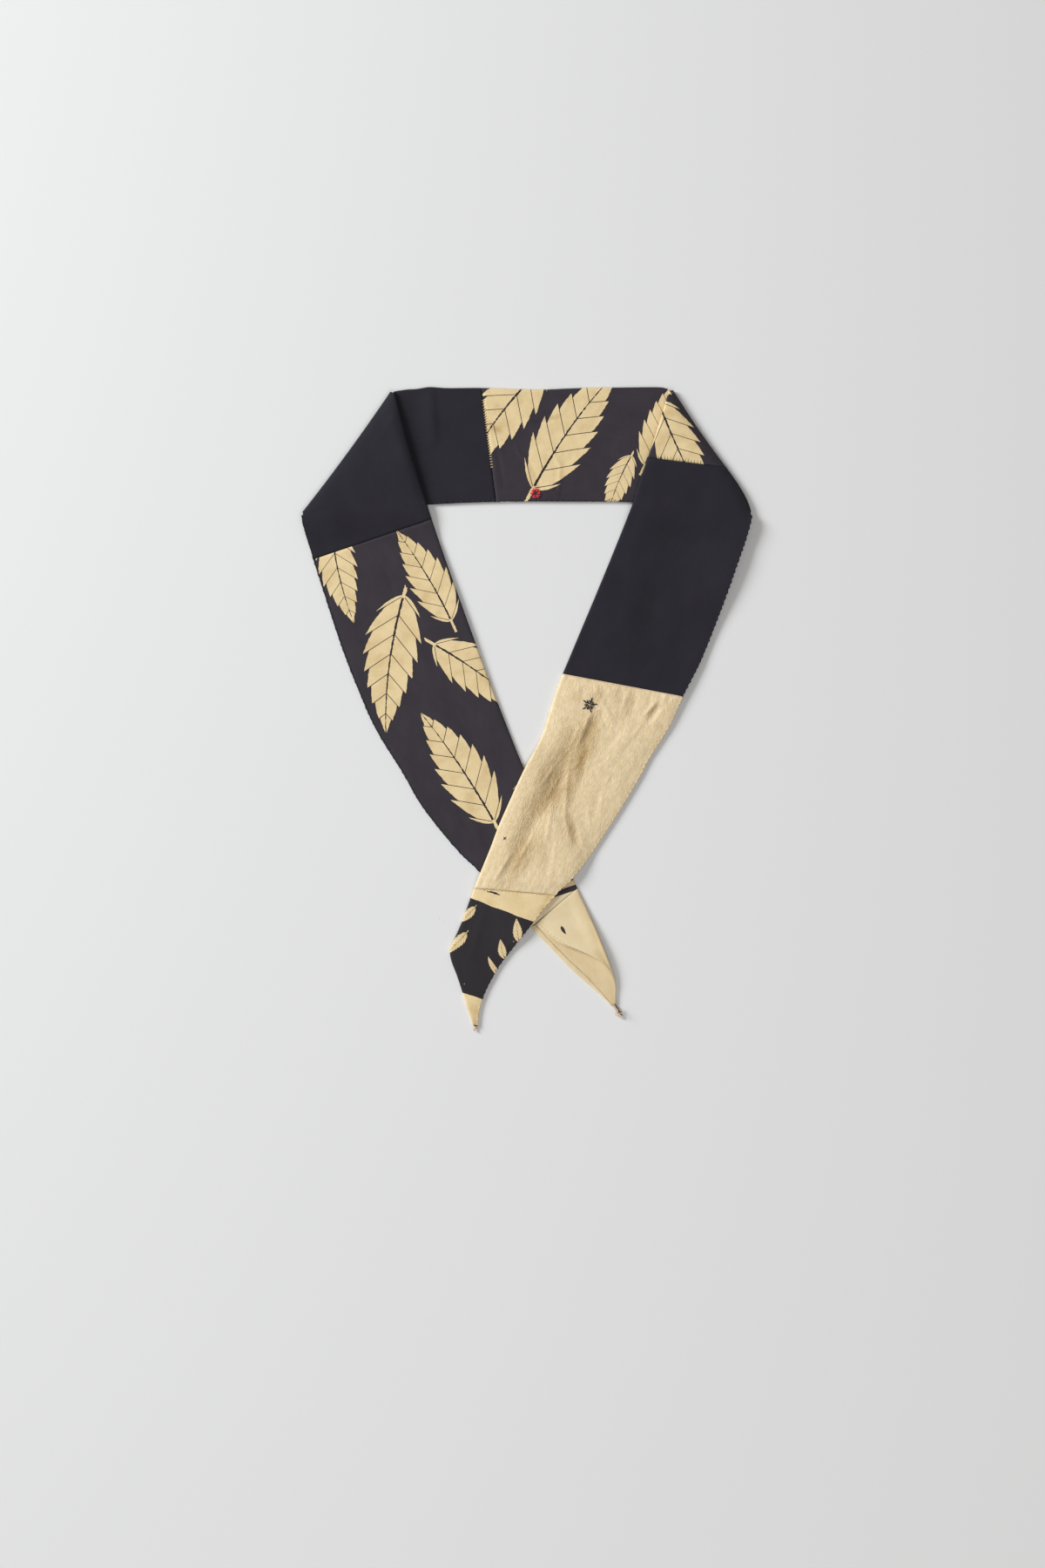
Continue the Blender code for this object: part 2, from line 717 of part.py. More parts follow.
def make_tie(name, leg, tie):
    """Thread wound round the end of the strip, lying on the table."""
    start, end = leg.at(*tie.start), leg.at(*tie.end)
    length = (end - start).length
    ahead = (end - start) / length
    side = Vector((-ahead.y, ahead.x))
    sections = tie.turns * TIE_SECTIONS
    rings = []
    for k in range(sections + 1):
        share = k / sections
        swell = TIE_END + (1 - TIE_END) * math.sin(math.pi * share) ** 0.5
        drawn = TIE_WIND * (1 + math.cos(2 * math.pi * tie.turns * share)) / 2
        wound = tie.radius * swell * (1 - drawn)
        ring = []
        for j in range(TIE_SIDES):
            angle = 2 * math.pi * j / TIE_SIDES
            spot = start + ahead * length * share + side * wound * math.cos(angle)
            ring.append((spot.x, spot.y, (tie.radius + wound * math.sin(angle)) * TIE_FLAT))
        rings.append(ring)
    lay(name, rings, THREAD, 0.8)


def main():
    """Clears the scene and lays out the whole strip."""
    for old in list(bpy.data.objects):
        bpy.data.objects.remove(old, do_unlink=True)
    make_band_left()
    make_band_right()
    make_leg_left_print()
    make_leg_right_plain()
    make_leg_right_silk()
    make_tip_right_print()
    make_tail_left()
    make_tie("tail_left_tie", LEFT_LEG, LEFT_TIE)
    make_tie("tip_right_tie", RIGHT_LEG, RIGHT_TIE)


main()
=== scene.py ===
import math
from bisect import bisect_right

import bmesh
import bpy
import numpy as np
from mathutils import Matrix, Vector, noise
from mathutils.bvhtree import BVHTree


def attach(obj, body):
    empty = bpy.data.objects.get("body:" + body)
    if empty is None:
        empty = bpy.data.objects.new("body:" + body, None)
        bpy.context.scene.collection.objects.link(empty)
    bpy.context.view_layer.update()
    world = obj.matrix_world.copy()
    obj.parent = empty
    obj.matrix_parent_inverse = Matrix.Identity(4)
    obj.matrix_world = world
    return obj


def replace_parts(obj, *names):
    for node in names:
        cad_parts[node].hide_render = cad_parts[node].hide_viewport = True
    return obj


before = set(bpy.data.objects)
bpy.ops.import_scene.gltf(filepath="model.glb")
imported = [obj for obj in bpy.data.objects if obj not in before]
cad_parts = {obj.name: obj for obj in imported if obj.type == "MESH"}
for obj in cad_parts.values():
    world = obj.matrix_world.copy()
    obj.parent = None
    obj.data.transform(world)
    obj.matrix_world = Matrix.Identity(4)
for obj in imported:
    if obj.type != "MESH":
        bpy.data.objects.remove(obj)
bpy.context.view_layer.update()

mm = 0.001
middle = Vector((0.2, -0.42))  # middle of the whole outline in the plan

strip = {
    "thick": 2.2,        # both layers with the seam allowances between them
    "crown": 0.15,
    "under": 2.65,       # height of the underside of cloth that lies on cloth
    "softRound": 1.5,    # how far the soft edge rounds in
    "groove": 1.3,       # depth between the two layers at the sewn edge
    "cornerEdge": 1.2,
    "wall": 0.45,        # one layer of cloth
    "easeBand": 30.0,    # how far cloth takes to come down from what it lies on
    "easeCrossing": 26.0,
    "rowStep": 1.35,     # between sections
    "silkStep": 1.05,
    "tailStep": 1.0,
    "foldSettle": 5.0,   # how far the corner fold takes to puff up
    "rollReach": 17.0,   # how far in a raised soft edge settles
    "rollDown": 8.0,     # and over which last stretch it rolls down
    "width": 98.0,       # of the folded strip
    "endFine": 8.0,      # rows lie closer over these last millimetres before the sewn edge
}
half = strip["thick"] / 2
turn = strip["under"] / 2


def toWorld(point, z):
    return Vector(((point[0] - middle.x) * mm, (point[1] - middle.y) * mm, z * mm))


def smoothCurve(xs, ys):
    # a soft curve through the points; its slopes come from the points on either side
    last = len(xs) - 1
    slopes = []
    for i in range(last + 1):
        before, after = max(i - 1, 0), min(i + 1, last)
        slopes.append((ys[after] - ys[before]) / (xs[after] - xs[before]))

    def at(x):
        if x <= xs[0]:
            return ys[0]
        if x >= xs[-1]:
            return ys[-1]
        i = bisect_right(xs, x) - 1
        width = xs[i + 1] - xs[i]
        u = (x - xs[i]) / width
        start = (1 + 2 * u) * (1 - u) ** 2 * ys[i] + u * (1 - u) ** 2 * width * slopes[i]
        end = u * u * (3 - 2 * u) * ys[i + 1] + u * u * (u - 1) * width * slopes[i + 1]
        return start + end

    return at


bandTop = smoothCurve(
    [-108, -96, -88, -78, -64, -36, 7, 40, 85, 104, 110.5, 114.6, 118],
    [254.1, 255.9, 256.4, 257.9, 257.1, 257.2, 255.8, 257.0, 257.7, 257.8, 257.3, 255.9, 255.0],
)
bandBottom = smoothCurve(
    [-182, -150, -80, -24, 32, 86, 140, 180],
    [154.0, 157.5, 163.4, 165.8, 166.0, 165.3, 160.0, 156.0],
)

# places along the line that a leg follows; inner and outer say how far the soft and the sewn edge lie from it
leftStations = [
    0, 40, 74, 80, 107, 135, 185, 222, 243, 259, 275, 290,
    314, 338, 364, 382, 425, 444, 463, 481, 500, 509, 516, 523,
]
leftLeg = {
    "apex": Vector((-106.2, 254.2)), "tip": Vector((-179.0, 154.7)), "side": -1,
    "heading": 17.1, "arcs": [(73, 0), (345, 6.6), (200, 0)],
    "bow": -1.2, "bowPlace": 1, "reach": 73.6,
    "inner": smoothCurve(
        leftStations,
        [
            0.0, 1.4, 1.6, 1.6, 1.5, 1.2, 0.4, 0.2, 0.2, 0.1, 0.0, -0.1, -0.3, -0.8, -1.4, -1.8, -2.6,
            -3.0, -3.1, -2.6, -1.7, -0.1, 3.0, 6.0,
        ],
    ),
    "outer": smoothCurve(
        leftStations,
        [
            98.0, 98.2, 100.2, 101.4, 101.8, 102.0, 102.4, 101.1, 99.7, 97.4, 94.0, 91.1, 87.6, 81.2,
            72.4, 64.4, 49.3, 42.8, 35.6, 29.0, 20.5, 16.2, 13.2, 10.5,
        ],
    ),
    "edgeLift": (1.3, 84, 180, 300),     # soft edge stands off the table, with where it starts, tops and ends
    "bandLift": (3.7, -30, 54, 108),     # and rolls over above the band, where it casts the soft shadow
    "puff": 1.0,                         # the corner fold isn't pressed flat
}
rightLeg = {
    "apex": Vector((114.6, 255.6)), "tip": Vector((178.8, 155.2)), "side": 1,
    "heading": -19.5, "arcs": [(73, 0), (255, -5.1), (150, 4.5), (150, 0)],
    "bow": 3.4, "bowPlace": 4, "reach": 73.5,
    "inner": smoothCurve(
        [
            0, 40, 72, 78, 92, 107, 142, 193, 208, 224, 246, 261, 277, 292, 305, 324, 358, 376, 395,
            420, 438, 457, 474, 483, 491, 501, 513, 521, 528, 533.5,
        ],
        [
            0.0, 1.8, 2.0, 2.2, 2.9, 2.8, 2.0, 1.0, 0.8, 0.7, 0.7, 1.3, 3.1, 4.7, 4.9, 3.2, 2.9, 2.8,
            3.6, 3.6, 3.8, 4.2, 3.4, 3.0, 7.0, 15.6, 25.0, 31.2, 36.9, 41.2,
        ],
    ),
    "outer": smoothCurve(
        [
            0, 40, 72, 78, 92, 107, 142, 193, 208, 224, 246, 261, 277, 292, 305, 324, 358, 376, 395,
            405, 420, 438, 457, 474, 483, 491, 501, 513, 521, 528, 533.5,
        ],
        [
            92.0, 92.6, 95.9, 97.1, 98.2, 98.4, 99.2, 99.2, 97.9, 96.6, 96.2, 94.2, 91.4, 90.4, 89.0,
            86.6, 81.6, 78.1, 72.8, 68.2, 63.2, 57.9, 52.2, 46.9, 44.4, 43.1, 41.6, 41.2, 41.9, 43.5,
            45.0,
        ],
    ),
    "edgeLift": (4.6, 60, 108, 190),     # its sewn edge stands off the table
    "lowLift": (1.5, 150, 214, 268),     # and a little less above the silk
    "bandLift": (0.0, -30, 55, 118),
    "puff": 1.8,
}

# where panels meet: millimetres along the soft edge and along the sewn edge, from a corner's apex
seams = {
    "band": (-70.2, -82.0),
    "bandFromRight": (-150.6, -138.8),
    "leftLeg": (107.0, 108.5),
    "leftTail": (426.0, 439.0),
    "rightBand": (57.5, 40.5),
    "rightSilk": (243.5, 223.5),
    "rightTip": (430.0, 410.5),
    "leftEnd": (523.0, 523.0),
    "rightEnd": (533.5, 533.5),
}


def ease(u):
    u = min(max(u, 0.0), 1.0)
    return u * u * (3 - 2 * u)


def hump(at, start, top, end):
    return ease((at - start) / (top - start)) if at < top else ease((end - at) / (end - top))


def walk(leg, along):
    # point and direction ahead, a distance down the line that a leg follows
    point, angle, left = leg["apex"].copy(), math.radians(leg["heading"]), along
    for length, turned in leg["arcs"]:
        run = min(left, length)
        bend = math.radians(turned) * run / length
        chord = run * (math.sin(bend / 2) / (bend / 2) if abs(bend) > 1e-9 else 1.0)
        point = point + chord * Vector((math.sin(angle + bend / 2), -math.cos(angle + bend / 2)))
        angle += bend
        left -= run
        if left <= 0:
            break
    return point, Vector((math.sin(angle), -math.cos(angle)))


def legPoint(leg, along, offset):
    point, ahead = walk(leg, along)
    return point + Vector((-ahead.y, ahead.x)) * leg["side"] * offset


def innerEdge(leg, along):
    return legPoint(leg, along, leg["inner"](along))


def outerEdge(leg, along):
    return legPoint(leg, along, leg["outer"](along))


crossing = 385.0
crossingLine = walk(leftLeg, crossing)


def beyondLeftLeg(point):
    # how far a point near the crossing lies outside the left leg
    origin, ahead = crossingLine
    away = point - origin
    along = crossing + away.dot(ahead)
    offset = away.dot(Vector((-ahead.y, ahead.x))) * leftLeg["side"]
    return max(leftLeg["inner"](along) - offset, offset - leftLeg["outer"](along)) - 1.5


def rolledEdge(distance):
    # a soft edge that isn't pressed rises, then rolls down over its last millimetres
    down = 0.9 * max(1 - distance / strip["rollDown"], 0.0) ** 1.6
    return math.exp(-distance / strip["rollReach"]) * (1 - down)


def foldDistance(leg, point):
    # how far a point lies from the corner fold
    run = leg["tip"] - leg["apex"]
    share = min(max((point - leg["apex"]).dot(run) / run.length_squared, 0.0), 1.0)
    return (point - leg["apex"] - run * share).length


def puffAt(leg, distance):
    return leg["puff"] * (1 - math.exp(-distance / strip["foldSettle"]))


def crownAt(share):
    return strip["crown"] * math.sin(math.pi * share)


def undersideOf(leg, point, along, share):
    # height of the underside of a leg
    drop = bandBottom(point.x) - point.y
    onBand = 1 - ease(drop / strip["easeBand"])
    loft = puffAt(leg, foldDistance(leg, point))
    height = (strip["under"] + loft) * onBand
    if leg is leftLeg:
        lift, *run = leg["edgeLift"]
        height += lift * hump(along, *run) * (1 - share) ** 3
        lift, *run = leg["bandLift"]
        return height + lift * hump(along, *run) * rolledEdge(share * strip["width"])
    if along > 200:
        height = max(height, strip["under"] * (1 - ease(beyondLeftLeg(point) / strip["easeCrossing"])))
    for name in ("edgeLift", "lowLift"):
        lift, *run = leg[name]
        height += lift * hump(along, *run) * share ** 2.4
    return height


def softHalf(distance):
    # half the thickness near the soft edge, where it rounds off
    u = min(distance / strip["softRound"], 1.0)
    return half * math.sqrt(max(1 - (1 - u) ** 2, 0.0))


def spreadOut(length, count, fine=0.0):
    # distances from the soft edge: close where it rounds, and again within the last millimetres
    near = min(strip["softRound"], length * 0.3)
    first = [0.0, near * 0.12, near * 0.4, near]
    rest = count - 3
    if fine and length > fine * 3:
        close = rest // 4
        wide = rest - close
        body = [near + (length - fine - near) * k / wide for k in range(1, wide + 1)]
        return first + body + [length - fine + fine * k / close for k in range(1, close + 1)]
    return first + [near + (length - near) * k / rest for k in range(1, rest + 1)]


def crowd(start, length, count):
    return [start + length * k / count for k in range(1, count + 1)]


# faces across a section: up to a corner fold, round it, and across a leg
upFaces, bendFaces, legFaces = 34, 8, 50


def bandEdges(leg, seam):
    squeeze = abs(leg["tip"].x - leg["apex"].x) / leg["reach"]
    innerX = leg["apex"].x + leg["side"] * seam[0]
    outerX = leg["apex"].x + leg["side"] * seam[1] * (squeeze if seam[1] > 0 else 1.0)
    return Vector((innerX, bandTop(innerX))), Vector((outerX, bandBottom(outerX)))


def placesAcross(leg, seam, distances, start, end, angle):
    length = (end - start).length
    places = []
    for distance in distances:
        share = min(distance / length, 1.0)
        point = start + (end - start) * share
        along = seam[0] + (seam[1] - seam[0]) * share
        places.append((point, undersideOf(leg, point, along, share) + half, angle, distance, crownAt(share)))
    return places


def cornerPlaces(leg, seam):
    # places from the soft edge to the sewn edge: on the band, over the fold, or on the leg
    fold = leg["tip"] - leg["apex"]
    outward = Vector((-fold.y, fold.x)).normalized() * leg["side"]
    share = seam[0] / (leg["reach"] - seam[1] + seam[0])
    tight = upFaces + bendFaces
    if share <= 0:
        start, end = bandEdges(leg, seam)
        length = (end - start).length
        edge = min(strip["cornerEdge"] - seam[0] * 0.7, length * 0.5)
        places = []
        for distance in [0.0] + crowd(0.0, edge, tight) + crowd(edge, length - edge, upFaces):
            part = distance / length
            places.append((start + (end - start) * part, half, 0.0, distance, crownAt(part)))
        return places, outward
    if share >= 1:
        start, end = innerEdge(leg, seam[0]), outerEdge(leg, seam[1])
        length = (end - start).length
        edge = min(strip["cornerEdge"] + (seam[1] - leg["reach"]) * 0.7, length * 0.5)
        distances = spreadOut(length - edge, upFaces) + crowd(length - edge, edge, tight)
        return placesAcross(leg, seam, distances, start, end, math.pi), outward
    top = leg["bowPlace"] ** leg["bowPlace"] / (leg["bowPlace"] + 1) ** (leg["bowPlace"] + 1)
    bulge = leg["bow"] * share ** leg["bowPlace"] * (1 - share) / top
    turnAt = leg["apex"] + fold * share + outward * bulge
    start, end = innerEdge(leg, seam[0]), bandEdges(leg, seam)[1]
    up, low = (turnAt - start).length, (end - turnAt).length
    lift, *run = leg["bandLift"]
    places = []
    for distance in spreadOut(up, upFaces):
        part = distance / up
        rolled = lift * hump(seam[0], *run) * rolledEdge(distance) * min((up - distance) / 20, 1.0)
        rise = strip["under"] + half + puffAt(leg, up - distance) + rolled
        places.append((start + (turnAt - start) * part, rise, math.pi, distance, crownAt(part)))
    for k in range(1, bendFaces):
        places.append((turnAt, None, math.pi * (1 - k / bendFaces), up, 0.0))
    for distance in [0.0] + crowd(0.0, low, upFaces):
        part = distance / low
        places.append((turnAt + (end - turnAt) * part, half, 0.0, up + distance, crownAt(part)))
    return places, outward


def tubeRow(places, outward, groove):
    # one section: from a lip inside the sewn edge, over the face, round the soft edge and back again
    sides = []
    last, before = places[-1], places[-2]
    across = (last[0] - before[0]).normalized()
    upward = math.cos(last[2])
    width = last[3]
    lips = [(0.15, half - 0.12), (0.0, half - 0.4), (0.12, 0.34), (0.45, 0.2), (groove, 0.16)]
    for side in (1, -1):
        row = []
        for point, rise, angle, distance, crown in places:
            offset = softHalf(distance) * side
            if rise is None:
                spot = point + outward * (turn - offset) * math.sin(angle)
                z, looks = half + turn - (turn - offset) * math.cos(angle), 0.0
            else:
                looks = side * math.cos(angle)
                spot, z = point, rise + offset * math.cos(angle) + (crown if looks > 0 else 0.0)
            row.append((spot.x, spot.y, z, side * distance, looks, width - distance))
        travel = width
        for inset, offset in lips:
            spot = last[0] - across * inset
            travel += 0.35
            row.append((spot.x, spot.y, last[1] + offset * side * upward, side * travel, 0.0, 0.0))
        sides.append(row)
    return list(reversed(sides[0])) + sides[1][1:]


def between(first, last, count):
    return [tuple(a + (b - a) * k / count for a, b in zip(first, last)) for k in range(count + 1)]


def route(stops, step):
    # sections through a list of seams or turning places, about a step apart
    found = [stops[0]]
    for first, last in zip(stops[:-1], stops[1:]):
        run = max(abs(last[0] - first[0]), abs(last[1] - first[1]))
        found += between(first, last, max(1, round(run / step)))[1:]
    return found


def shifted(seam, distance):
    return seam[0] + distance, seam[1] + distance


def creaseRise(xs, ys, creases):
    total = np.zeros(len(xs))
    for x0, y0, x1, y1, width, rise in creases:
        runX, runY = x1 - x0, y1 - y0
        share = ((xs - x0) * runX + (ys - y0) * runY) / (runX ** 2 + runY ** 2)
        share = share.clip(0, 1)
        awayX, awayY = xs - x0 - runX * share, ys - y0 - runY * share
        steep = np.where(awayX > 0, 0.6, 1.0)      # each falls off faster on the side away from the window
        taper = 0.55 + 0.45 * np.sin(np.pi * share)
        total += rise * taper * np.exp(-(np.hypot(awayX, awayY) / (width * steep)) ** 2)
    return total


settle = {
    # millimetres over which the relief grows from the soft edge, the sewn edge and a panel's ends
    "soft": 5.0, "sewn": 4.0, "end": 5.0, "loft": 12.0, "loftEnd": 9.0,
    "sway": 26.0, "ripple": 7.0,           # size of the slight unevenness
    "folds": (24.0, 6.5), "finer": (9.0, 3.0),    # and of the crumples, along and across
    "pucker": 2.6, "wobble": 2.0,          # how far in the stitches pull
    "seamDip": 0.42, "seamWide": 1.3,      # a seam's turned edge
    "under": 0.18,                         # the underside is uneven too
}


def unevenness(first, second, third):
    return np.array([noise.noise(spot) for spot in zip(*np.broadcast_arrays(first, second, third))])


def grown(distance, reach):
    return np.clip(distance / reach, 0, 1)


def relief(look, spots, along, endDistance):
    # raises and sinks the cloth: creases, puckers along the sewn edge, gathers at seams, slight unevenness
    x, y, z, v, looks, sewn = spots.T
    seed = look["seed"]
    inside = grown(np.abs(v), settle["soft"]) * grown(sewn, settle["sewn"])
    up, under = np.clip(looks, 0, 1), np.clip(-looks, 0, 1)
    soft = unevenness(x / settle["sway"], y / settle["sway"], seed)
    fine = unevenness(x / settle["ripple"], y / settle["ripple"], seed + 9)
    rise = creaseRise(x, y, look["creases"]) * grown(endDistance, settle["end"])
    rise += look["sway"] * soft + look["ripple"] * fine
    if look["crumple"]:
        folds, finer = (
            unevenness(along / settle[name][0], v / settle[name][1], seed + turned)
            for name, turned in (("folds", 4), ("finer", 5))
        )
        rise += look["crumple"] * (1 - 2.4 * np.abs(folds) - 0.5 * np.abs(finer))
    pulls = unevenness(v / look["gatherStep"], seed * 3, 0.0)
    rise += look["gather"] * pulls * np.exp(-endDistance / look["gatherReach"]) * grown(endDistance, 1.5)
    rise *= inside
    loft = grown(np.abs(v), settle["loft"]) * grown(sewn, settle["loft"])
    rise += look["loft"] * (loft * grown(endDistance, settle["loftEnd"])) ** 0.8
    stitch = 0.5 + 0.5 * np.cos(math.tau * (along + 0.8 * fine) / look["puckerStep"])
    rise -= look["pucker"] * stitch * np.exp(-(sewn / settle["pucker"]) ** 2)
    rise -= settle["seamDip"] * (1 - grown(endDistance, settle["seamWide"])) ** 2
    spots[:, 2] += rise * up + settle["under"] * (0.5 + 0.5 * soft) * under * inside
    spots[:, 2] = np.maximum(spots[:, 2], 0.0)
    pulled = np.cos(math.tau * along / look["puckerStep"]) * np.exp(-(sewn / settle["wobble"]) ** 2)
    spots[:, 0] += look["wobble"] * pulled


def makeCloth(name, rows, alongs, look):
    # a grid whose points are laid on the sections, with its own map: along the strip, and round the tube
    spots = np.array(rows, dtype=float)
    count, across = spots.shape[:2]
    widths = abs(spots[:, :, 3]).max(axis=1)
    onSoft, onSewn = np.array(alongs, dtype=float).T[:, :, None]
    alongAt = onSoft + (onSewn - onSoft) * abs(spots[:, :, 3]) / widths[:, None]
    endDistance = np.minimum(alongAt - alongAt[0], alongAt[-1] - alongAt)
    flat = spots.reshape(-1, 6)
    relief(look, flat, alongAt.ravel(), endDistance.ravel())
    # stains and painted shade darken only faces that look up; an open tail's lower layer is darkened too,
    # partly painted shade under its flap
    wearAndShade = creaseRise(flat[:, 0], flat[:, 1], look["stainsAndShade"]) * np.clip(flat[:, 4], 0, 1)
    wearAndShade = (wearAndShade + look["lowerTintAndShade"] * (flat[:, 3] < 0)).reshape(count, across)
    grid = bmesh.new()
    bmesh.ops.create_grid(grid, x_segments=count - 1, y_segments=across - 1, size=1.0)
    worn = grid.verts.layers.float.new("worn")
    places = grid.loops.layers.uv.new("clothPlace")
    leaves = grid.loops.layers.uv.new("leafPlace")
    at = {}
    for vert in grid.verts:
        spot = (round((vert.co.x + 1) / 2 * (count - 1)), round((vert.co.y + 1) / 2 * (across - 1)))
        at[vert.index] = spot
        vert.co = toWorld(spots[spot], spots[spot][2])
        vert[worn] = wearAndShade[spot]
    grid.normal_update()
    tops = [face for face in grid.faces if all(spots[at[vert.index]][4] > 0.9 for vert in face.verts)]
    if sum(face.normal.z for face in tops) < 0:
        bmesh.ops.reverse_faces(grid, faces=grid.faces)
    for face in grid.faces:
        corners = [at[loop.vert.index] for loop in face.loops]
        centre = (sum(alongAt[c] for c in corners) / 4, sum(spots[c][3] for c in corners) / 4)
        leaf = nearestLeaf(look["leaves"], centre)
        for loop, corner in zip(face.loops, corners):
            u, v = alongAt[corner], spots[corner][3]
            loop[places].uv = (u * mm, v * mm)
            loop[leaves].uv = leafPlace(leaf, u, v) if leaf else (-5.0, 5.0)
        face.smooth = True
    mesh = bpy.data.meshes.new(name)
    grid.to_mesh(mesh)
    grid.free()
    cloth = bpy.data.objects.new(name, mesh)
    bpy.context.scene.collection.objects.link(cloth)
    wall = cloth.modifiers.new("wall", "SOLIDIFY")
    wall.thickness = look["wall"] * mm
    wall.offset = -1.0
    # the flat area, both sides of the tube
    steps = np.diff(np.array(alongs).mean(axis=1))
    area = float(np.sum((widths[1:] + widths[:-1]) * steps)) * mm * mm
    print("cloth", name, len(mesh.vertices), "points, cut area", round(area, 5))
    return cloth, area


def leafPlace(leaf, u, v):
    # along the leaf from stalk to point, and off its midrib, both as shares of its length
    leafU, leafV, heading, length, bend = leaf
    turned = math.radians(heading)
    du, dv = u - leafU, v - leafV
    along = (du * math.cos(turned) + dv * math.sin(turned)) / length + 0.5
    off = (-du * math.sin(turned) + dv * math.cos(turned)) / length
    return along, off - bend * along * (1 - along)


def nearestLeaf(leaves, centre):
    best, chosen = 4.0, None
    for leaf in leaves:
        along, off = leafPlace(leaf, *centre)
        away = ((along - 0.42) / 0.68) ** 2 + (off / 0.3) ** 2
        if away < best:
            best, chosen = away, leaf
    return chosen


def fromHex(colour):
    value = colour.lstrip("#")
    channels = [int(value[k:k + 2], 16) / 255 for k in (0, 2, 4)]
    return (*[c / 12.92 if c <= 0.04045 else ((c + 0.055) / 1.055) ** 2.4 for c in channels], 1.0)


def fillInputs(tree, node, inputs):
    # a value is set, a socket is linked, and a node is linked by its first output in use
    for key, value in inputs.items():
        if isinstance(value, bpy.types.Node):
            value = next(output for output in value.outputs if output.enabled)
        if isinstance(value, bpy.types.NodeSocket):
            tree.links.new(value, node.inputs[key])
        else:
            node.inputs[key].default_value = value


def addNode(tree, kind, inputs, **settings):
    node = tree.nodes.new("ShaderNode" + kind)
    for name, value in settings.items():
        setattr(node, name, value)
    fillInputs(tree, node, inputs)
    return node


def newMaterial(name, finish):
    material = bpy.data.materials.new(name)
    material.use_nodes = True
    tree = material.node_tree
    shader = tree.nodes["Principled BSDF"]
    fillInputs(tree, shader, finish)
    return material, tree, shader


def clothMap(tree, along, across):
    # the cloth's own map, in turns of a pattern that is this many millimetres long and wide
    place = addNode(tree, "UVMap", {}, uv_map="clothPlace")
    return addNode(tree, "Mapping", {"Vector": place, "Scale": (1000 / along, 1000 / across, 1)})


def weaveHeight(tree, thread, uneven):
    # plain weave: threads go over and under each other, one thread apart, and each is uneven along its length
    turns = addNode(tree, "SeparateXYZ", {"Vector": clothMap(tree, thread * 2, thread * 2)})
    waves = []
    for axis in ("X", "Y"):
        angle = addNode(tree, "Math", {0: turns.outputs[axis], 1: math.tau}, operation="MULTIPLY")
        waves.append(addNode(tree, "Math", {0: angle}, operation="SINE"))
    woven = addNode(tree, "Math", {0: waves[0], 1: waves[1]}, operation="MULTIPLY")
    slubs = []
    for size in ((thread * 14, thread * 1.5), (thread * 1.5, thread * 14)):
        slubs.append(addNode(tree, "TexNoise", {"Vector": clothMap(tree, *size), "Scale": 1, "Detail": 3}))
    bothWays = addNode(tree, "Math", {0: slubs[0], 1: slubs[1]}, operation="ADD")
    rough = addNode(tree, "Math", {0: bothWays, 1: uneven}, operation="MULTIPLY")
    height = addNode(tree, "Math", {0: woven, 1: 0.5, 2: rough}, operation="MULTIPLY_ADD")
    return height, bothWays


def addStainsAndShade(tree, colour, stainAndShadeTone):
    # browner where the cloth is marked darkened, with a ragged edge: real stains on the printed band and tip,
    # painted shade on the lawn, in the silk's crease troughs and on the tail
    worn = addNode(tree, "Attribute", {}, attribute_name="worn")
    ragged = addNode(tree, "TexNoise", {
        "Vector": clothMap(tree, 9, 4.5), "Scale": 1, "Detail": 6, "Roughness": 0.62,
    })
    uneven = addNode(tree, "MapRange", {
        "Value": ragged, "From Min": 0.32, "From Max": 0.68, "To Min": 0.64, "To Max": 1.2,
    })
    amount = addNode(tree, "Math", {0: worn.outputs["Fac"], 1: uneven}, operation="MULTIPLY", use_clamp=True)
    return addNode(tree, "Mix", {"Factor": amount, "A": colour, "B": fromHex(stainAndShadeTone)}, data_type="RGBA")


# Cotton lawn, piece-dyed blue-black: matt, a faint heather where single fibres catch the light
def dyedLawn():
    material, tree, shader = newMaterial("cotton lawn, blue-black", {
        "Roughness": 0.86, "Specular IOR Level": 0.28,
        "Sheen Weight": 0.12, "Sheen Roughness": 0.45, "Sheen Tint": fromHex("#8f8fa6"),
    })
    height = weaveHeight(tree, 0.42, 0.55)[0]      # real threads are 0.25 mm apart, drawn a little coarser
    cloud = addNode(tree, "TexNoise", {
        "Vector": clothMap(tree, 34, 22), "Scale": 1, "Detail": 4, "Roughness": 0.6,
    })
    fibre = addNode(tree, "TexNoise", {
        "Vector": clothMap(tree, 2.6, 0.9), "Scale": 1, "Detail": 5, "Roughness": 0.7,
    })
    mixed = addNode(tree, "Math", {0: fibre, 1: 0.55, 2: cloud}, operation="MULTIPLY_ADD")
    spread = addNode(tree, "MapRange", {"Value": mixed, "From Min": 0.45, "From Max": 1.1})
    dye = {"Factor": spread, "A": fromHex("#1f1d24"), "B": fromHex("#28262e")}
    # the near-black tone is painted shade: beside the left leg's raised edge and where the cloth slopes away
    # from the light
    fillInputs(tree, shader, {
        "Base Color": addStainsAndShade(tree, addNode(tree, "Mix", dye, data_type="RGBA"), "#121015"),
        "Normal": addNode(tree, "Bump", {"Height": height, "Distance": 0.00006, "Strength": 0.6}),
    })
    return material


